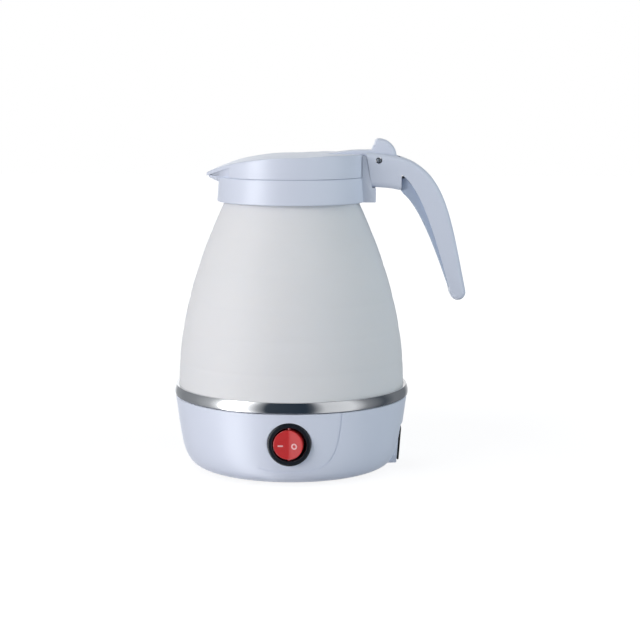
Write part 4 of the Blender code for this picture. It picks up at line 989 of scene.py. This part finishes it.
def tapered_plate(outline, inset=0.0):
    """A side view given the handle's width, which narrows towards the tip."""
    shape = cut_plate(outline, -1.0, 1.0)
    for point in shape.verts:
        point.co.y = math.copysign(handle_half(point.co.z) - inset, point.co.y)
    return shape


outer = samples(HANDLE_OUTER, RAIL_POINTS)
inner = samples(HANDLE_INNER, RAIL_POINTS)
flange = samples(HANDLE_FLANGE, RAIL_POINTS)
tip = arc(HANDLE_TIP, TIP_RADIUS, 0, -165, 18)
back = [(40.75, 176.1), (50.0, 175.6)] + outer + tip
belly = [(CHEEK_END, 155.6), inner[0], (52.2, 157.0), (44.15, 157.5)]
shell_shape = tapered_plate(back + flange[-2::-1] + belly)
belly_edges = edges_on(shell_shape, belly)
roll_edges(shell_shape, edges_on(shell_shape, back), BACK_ROUNDING)
roll_edges(shell_shape, [edge for edge in belly_edges if edge.is_valid], BELLY_ROUNDING)
shell = finished("handle_outer_shell", shell_shape, crease=30)
channel_top = between(HANDLE_OUTER, HANDLE_FLANGE, CHANNEL_SHARE, RAIL_POINTS)[6:-3]
channel = [(60.6, 148.0), (61.5, 163.5)] + channel_top + [(93.0, 101.9), (80.0, 101.0)]
slot = [(30, 190), (30, PIN[1] - SLOT_RADIUS), (PIN[0], PIN[1] - SLOT_RADIUS)]
slot += arc(PIN, SLOT_RADIUS, -75, 0, 16) + [(PIN[0] + SLOT_RADIUS, 190)]
carve(shell,
      finished("grip_channel", tapered_plate(channel, GRIP_INSET - 0.3)),
      finished("hinge_slot", cut_plate(slot, -SLOT_HALF, SLOT_HALF)),
      pin_room(),
      *screw_rooms(40, 53.5), crease=30)
hang(shell, "top", white_abs, ["handle_shell"])

grip_top = between(HANDLE_OUTER, HANDLE_FLANGE, CHANNEL_SHARE + 0.05, RAIL_POINTS)[6:-3]
grip_root = CHEEK_END + 0.2
grip_outline = [(grip_root, 162.4), (62.1, 162.6)] + grip_top + [(92.4, 102.5), (87.2, 102.4)]
grip_outline += [(x, z) for x, z in reversed(inner) if x > 61.0 and z > 102.8] + [(grip_root, 155.4)]
grip_shape = tapered_plate(grip_outline, GRIP_INSET)
round_edges(grip_shape, 0.6, 3, 40)
# The inlay's white ABS is painted grey and bluish as painted shade in the recess, with the shell's satin
# gloss
painted_shade_grey_abs = moulded("inlay_abs_painted_shade_grey", INLAY_PAINTED_SHADE_GREY, 0.4, 1.54, 1.6, 0.0006)
hang(finished("handle_inlay", grip_shape, 30), "top", painted_shade_grey_abs, ["handle_grip"])

# The hinge pin is turned steel with domed ends that lie just inside the cheeks
PIN_RADIUS = 1.2
PIN_STEEL = "#8f969e"
pin_end = handle_half(PIN[1]) - 0.1
dome = [(PIN_RADIUS * math.sin(i / 10 * math.pi / 2), pin_end - 0.6 + 0.6 * math.cos(i / 10 * math.pi / 2))
        for i in range(11)]
pin_profile = dome + [(radius, -height) for radius, height in reversed(dome)]
pin_lay = Matrix.Translation((PIN[0], 0, PIN[1])) @ Matrix.Rotation(math.pi / 2, 4, "X")
pin = finished("hinge_pin_turned", turned(pin_profile, 40, lay=pin_lay))
# Turned steel, left as it comes off the lathe: duller and darker than the plated screws
turned_steel = bright_metal("turned_steel", PIN_STEEL, 0.36, 0.3, 0.004)
hang(pin, "top", turned_steel, ["hinge_pin"])


# The switch is a bought part: a black polished bezel and body snapped into the bowl's seat, and a red
# translucent rocker with its two plain marks printed on. It stands with the line's side pressed in.
BEZEL_RADIUS = 11.6
BEZEL_SEAT = -61.6
BEZEL_FACE = -63.4
BORE = 8.75
BODY_RADIUS = 9.8
BODY_BACK = -40.7
RECESS_FLOOR = -54.7
AXLE_ROOM = (9.5, 1.4)                    # half the length and the radius of the bearing holes
AXLE = (9.2, 1.0)
ROCKER_RADIUS = 7.9
ROCKER_PIVOT_Y = -60.3
ROCKER_TILT = math.radians(-10)
ROCKER_FALL = math.tan(math.radians(8))
ROCKER_FRONT = 3.1
SWITCH_BLACK = "#1c2026"
ROCKER_RED = "#d0383a"
MARK_PINK = "#f2c0c2"
towards_front = Matrix.Translation((0, 0, SWITCH_Z)) @ Matrix.Rotation(math.pi / 2, 4, "X")
bezel_profile = rounded([
    (0, -RECESS_FLOOR, 0), (BORE, -RECESS_FLOOR, 0.4), (BORE, -BEZEL_FACE - 1.3, 0.4),
    (9.3, -BEZEL_FACE, 0.35), (BEZEL_RADIUS, -BEZEL_FACE, 0.9), (BEZEL_RADIUS, -BEZEL_SEAT, 0.1),
    (BODY_RADIUS, -BEZEL_SEAT, 0), (BODY_RADIUS, -BODY_BACK, 0.5), (0, -BODY_BACK, 0)])
# Glass filled nylon, black, from a polished mould: a clear, slightly soft gloss
black_nylon = moulded("black_nylon_polished_mould", SWITCH_BLACK, 0.24, 1.53, 0.8, 0.002)
bezel = finished("switch_bezel", turned(bezel_profile, 128, lay=towards_front))
axle_reach, axle_room = AXLE_ROOM
axle_ends = [(0, ROCKER_PIVOT_Y, SWITCH_Z + side * axle_reach) for side in (-1, 1)]
carve(bezel, finished("axle_room", rod(*axle_ends, axle_room)))
hang(bezel, "base", black_nylon, ["switch_housing"])

# Red polycarbonate, clear enough to glow in the light that falls into it
red_polycarbonate = moulded("red_translucent_polycarbonate", ROCKER_RED, 0.14, 1.58, 0.7, 0.002)
shader = red_polycarbonate.node_tree.nodes["Principled BSDF"]
feed(red_polycarbonate.node_tree, shader, {
    "Subsurface Weight": 0.25, "Subsurface Radius": (1.0, 0.12, 0.1), "Subsurface Scale": 0.003,
    "Coat Weight": 0.4, "Coat Roughness": 0.08})
rocker_lay = (Matrix.Translation((0, ROCKER_PIVOT_Y, SWITCH_Z)) @ Matrix.Rotation(ROCKER_TILT, 4, "Z")
              @ Matrix.Rotation(math.pi / 2, 4, "X"))
face_points = [(ROCKER_RADIUS * i / 24, ROCKER_FRONT) for i in range(23)]
rocker_profile = face_points + rounded([
    (ROCKER_RADIUS - 0.4, ROCKER_FRONT, 0), (ROCKER_RADIUS, ROCKER_FRONT, 0.35), (ROCKER_RADIUS, -2.3, 0.3),
    (0, -2.3, 0)])[1:]
rocker_shape = turned(rocker_profile, 112)
for point in rocker_shape.verts:
    if point.co.z > 2.0:
        point.co.z += ROCKER_FALL * (math.sqrt(point.co.x ** 2 + 0.5) - 0.7)
bmesh.ops.transform(rocker_shape, matrix=rocker_lay, verts=rocker_shape.verts)
rocker = finished("rocker_cap", rocker_shape)
axle = rod((0, -AXLE[0], 0), (0, AXLE[0], 0), AXLE[1])
bmesh.ops.transform(axle, matrix=rocker_lay, verts=axle.verts)
carve(rocker, finished("rocker_axle", axle), operation="UNION")
hang(rocker, "rocker", red_polycarbonate, ["switch_rocker"])

# The two marks are pad printed in white ink a few hundredths thick, which the red below tints
white_ink = moulded("pad_printed_white_ink", MARK_PINK, 0.4, 1.5, 0.4, 0.002)
LINE_PLACE = -4.1
RING_PLACE = 3.3
MARK_DROP = -0.6
INK = 0.06


def rectangle(half_across, half_up, radius=0.0, centre=(0.0, 0.0)):
    """An oblong outline, with its corners rounded if a radius is given."""
    x, y = centre
    return rounded([(x - half_across, y - half_up, radius), (x + half_across, y - half_up, radius),
                    (x + half_across, y + half_up, radius), (x - half_across, y + half_up, radius)])


def on_rocker(shape, x, lean):
    """Lay a flat mark on one half of the rocker's face."""
    height = ROCKER_FRONT + ROCKER_FALL * (math.sqrt(x * x + 0.5) - 0.7) + INK / 2
    slope = math.atan(ROCKER_FALL) * lean
    lay = rocker_lay @ Matrix.Translation((x, MARK_DROP, height)) @ Matrix.Rotation(slope, 4, "Y")
    bmesh.ops.transform(shape, matrix=lay, verts=shape.verts)
    return shape


line = on_rocker(cut_plate(rectangle(1.4, 0.38, 0.1), -INK, INK, upright=False), LINE_PLACE, 1)
ring = on_rocker(turned([(0.9, INK), (1.6, INK), (1.6, -INK), (0.9, -INK)], 64), RING_PLACE, -1)
hang(finished("mark_line", line), "rocker", white_ink)
hang(finished("mark_ring", ring), "rocker", white_ink)


# The mains inlet is a bought three-pin part, snapped into the bowl's pad: a black nylon shroud behind a thin
# flange, and three nickel plated brass blades.
FLANGE_SIZE = (13.5, 9.45)
CAVITY_SIZE = (11.8, 7.8)
INLET_DEPTH = 16.0
FLANGE_PROUD = 1.3
PIN_PLACES = ((-7.0, -2.0), (7.0, -2.0), (0.0, 2.5))
INLET_BLACK = "#17181a"
NICKEL = "#cfc8b4"
inlet_lay = (Matrix.Translation((INLET_FACE[0], 0, INLET_FACE[1])) @ Matrix.Rotation(INLET_TILT, 4, "Y")
             @ Matrix(((0, 0, 1, 0), (1, 0, 0, 0), (0, 1, 0, 0), (0, 0, 0, 1))))


def inlet_box(corners, near, far, rounding=0.0):
    """A prism along the inlet's own axis, from corners across its face."""
    shape = cut_plate(corners, near, far, upright=False, rounding=rounding)
    bmesh.ops.transform(shape, matrix=inlet_lay, verts=shape.verts)
    return shape


wide, tall = CAVITY_SIZE
cavity = rounded([(-wide, -tall, 1.0), (wide, -tall, 1.0), (wide, tall - 4.0, 0.6), (wide - 4.0, tall, 0.6),
                  (4.0 - wide, tall, 0.6), (-wide, tall - 4.0, 0.6)])
socket = finished("inlet_flange", inlet_box(rectangle(*FLANGE_SIZE, 2.0), 0.3, FLANGE_PROUD, 0.4))
carve(socket, finished("inlet_body", inlet_box(rectangle(12.7, 8.7, 1.2), -19.0, 0.8)), operation="UNION")
carve(socket, finished("inlet_cavity", inlet_box(cavity, -INLET_DEPTH, 5.0)))
# Black nylon again, but from a blasted mould, so it is duller than the switch
black_matt = moulded("black_nylon_blasted_mould", INLET_BLACK, 0.42, 1.53, 0.35, 0.012, 0.1)
hang(socket, "base", black_matt, ["inlet_socket"])
# Nickel plated brass: pale and slightly warm
nickel = bright_metal("nickel_plated_brass", NICKEL, 0.22, 0.3, 0.003)
for number, centre in enumerate(PIN_PLACES, 1):
    blade = inlet_box(rectangle(1.0, 2.0, 0.2, centre), -22.0, -3.5, 0.35)
    hang(finished(f"inlet_blade_{number}", blade), "base", nickel, [f"inlet_pin_{number}"])
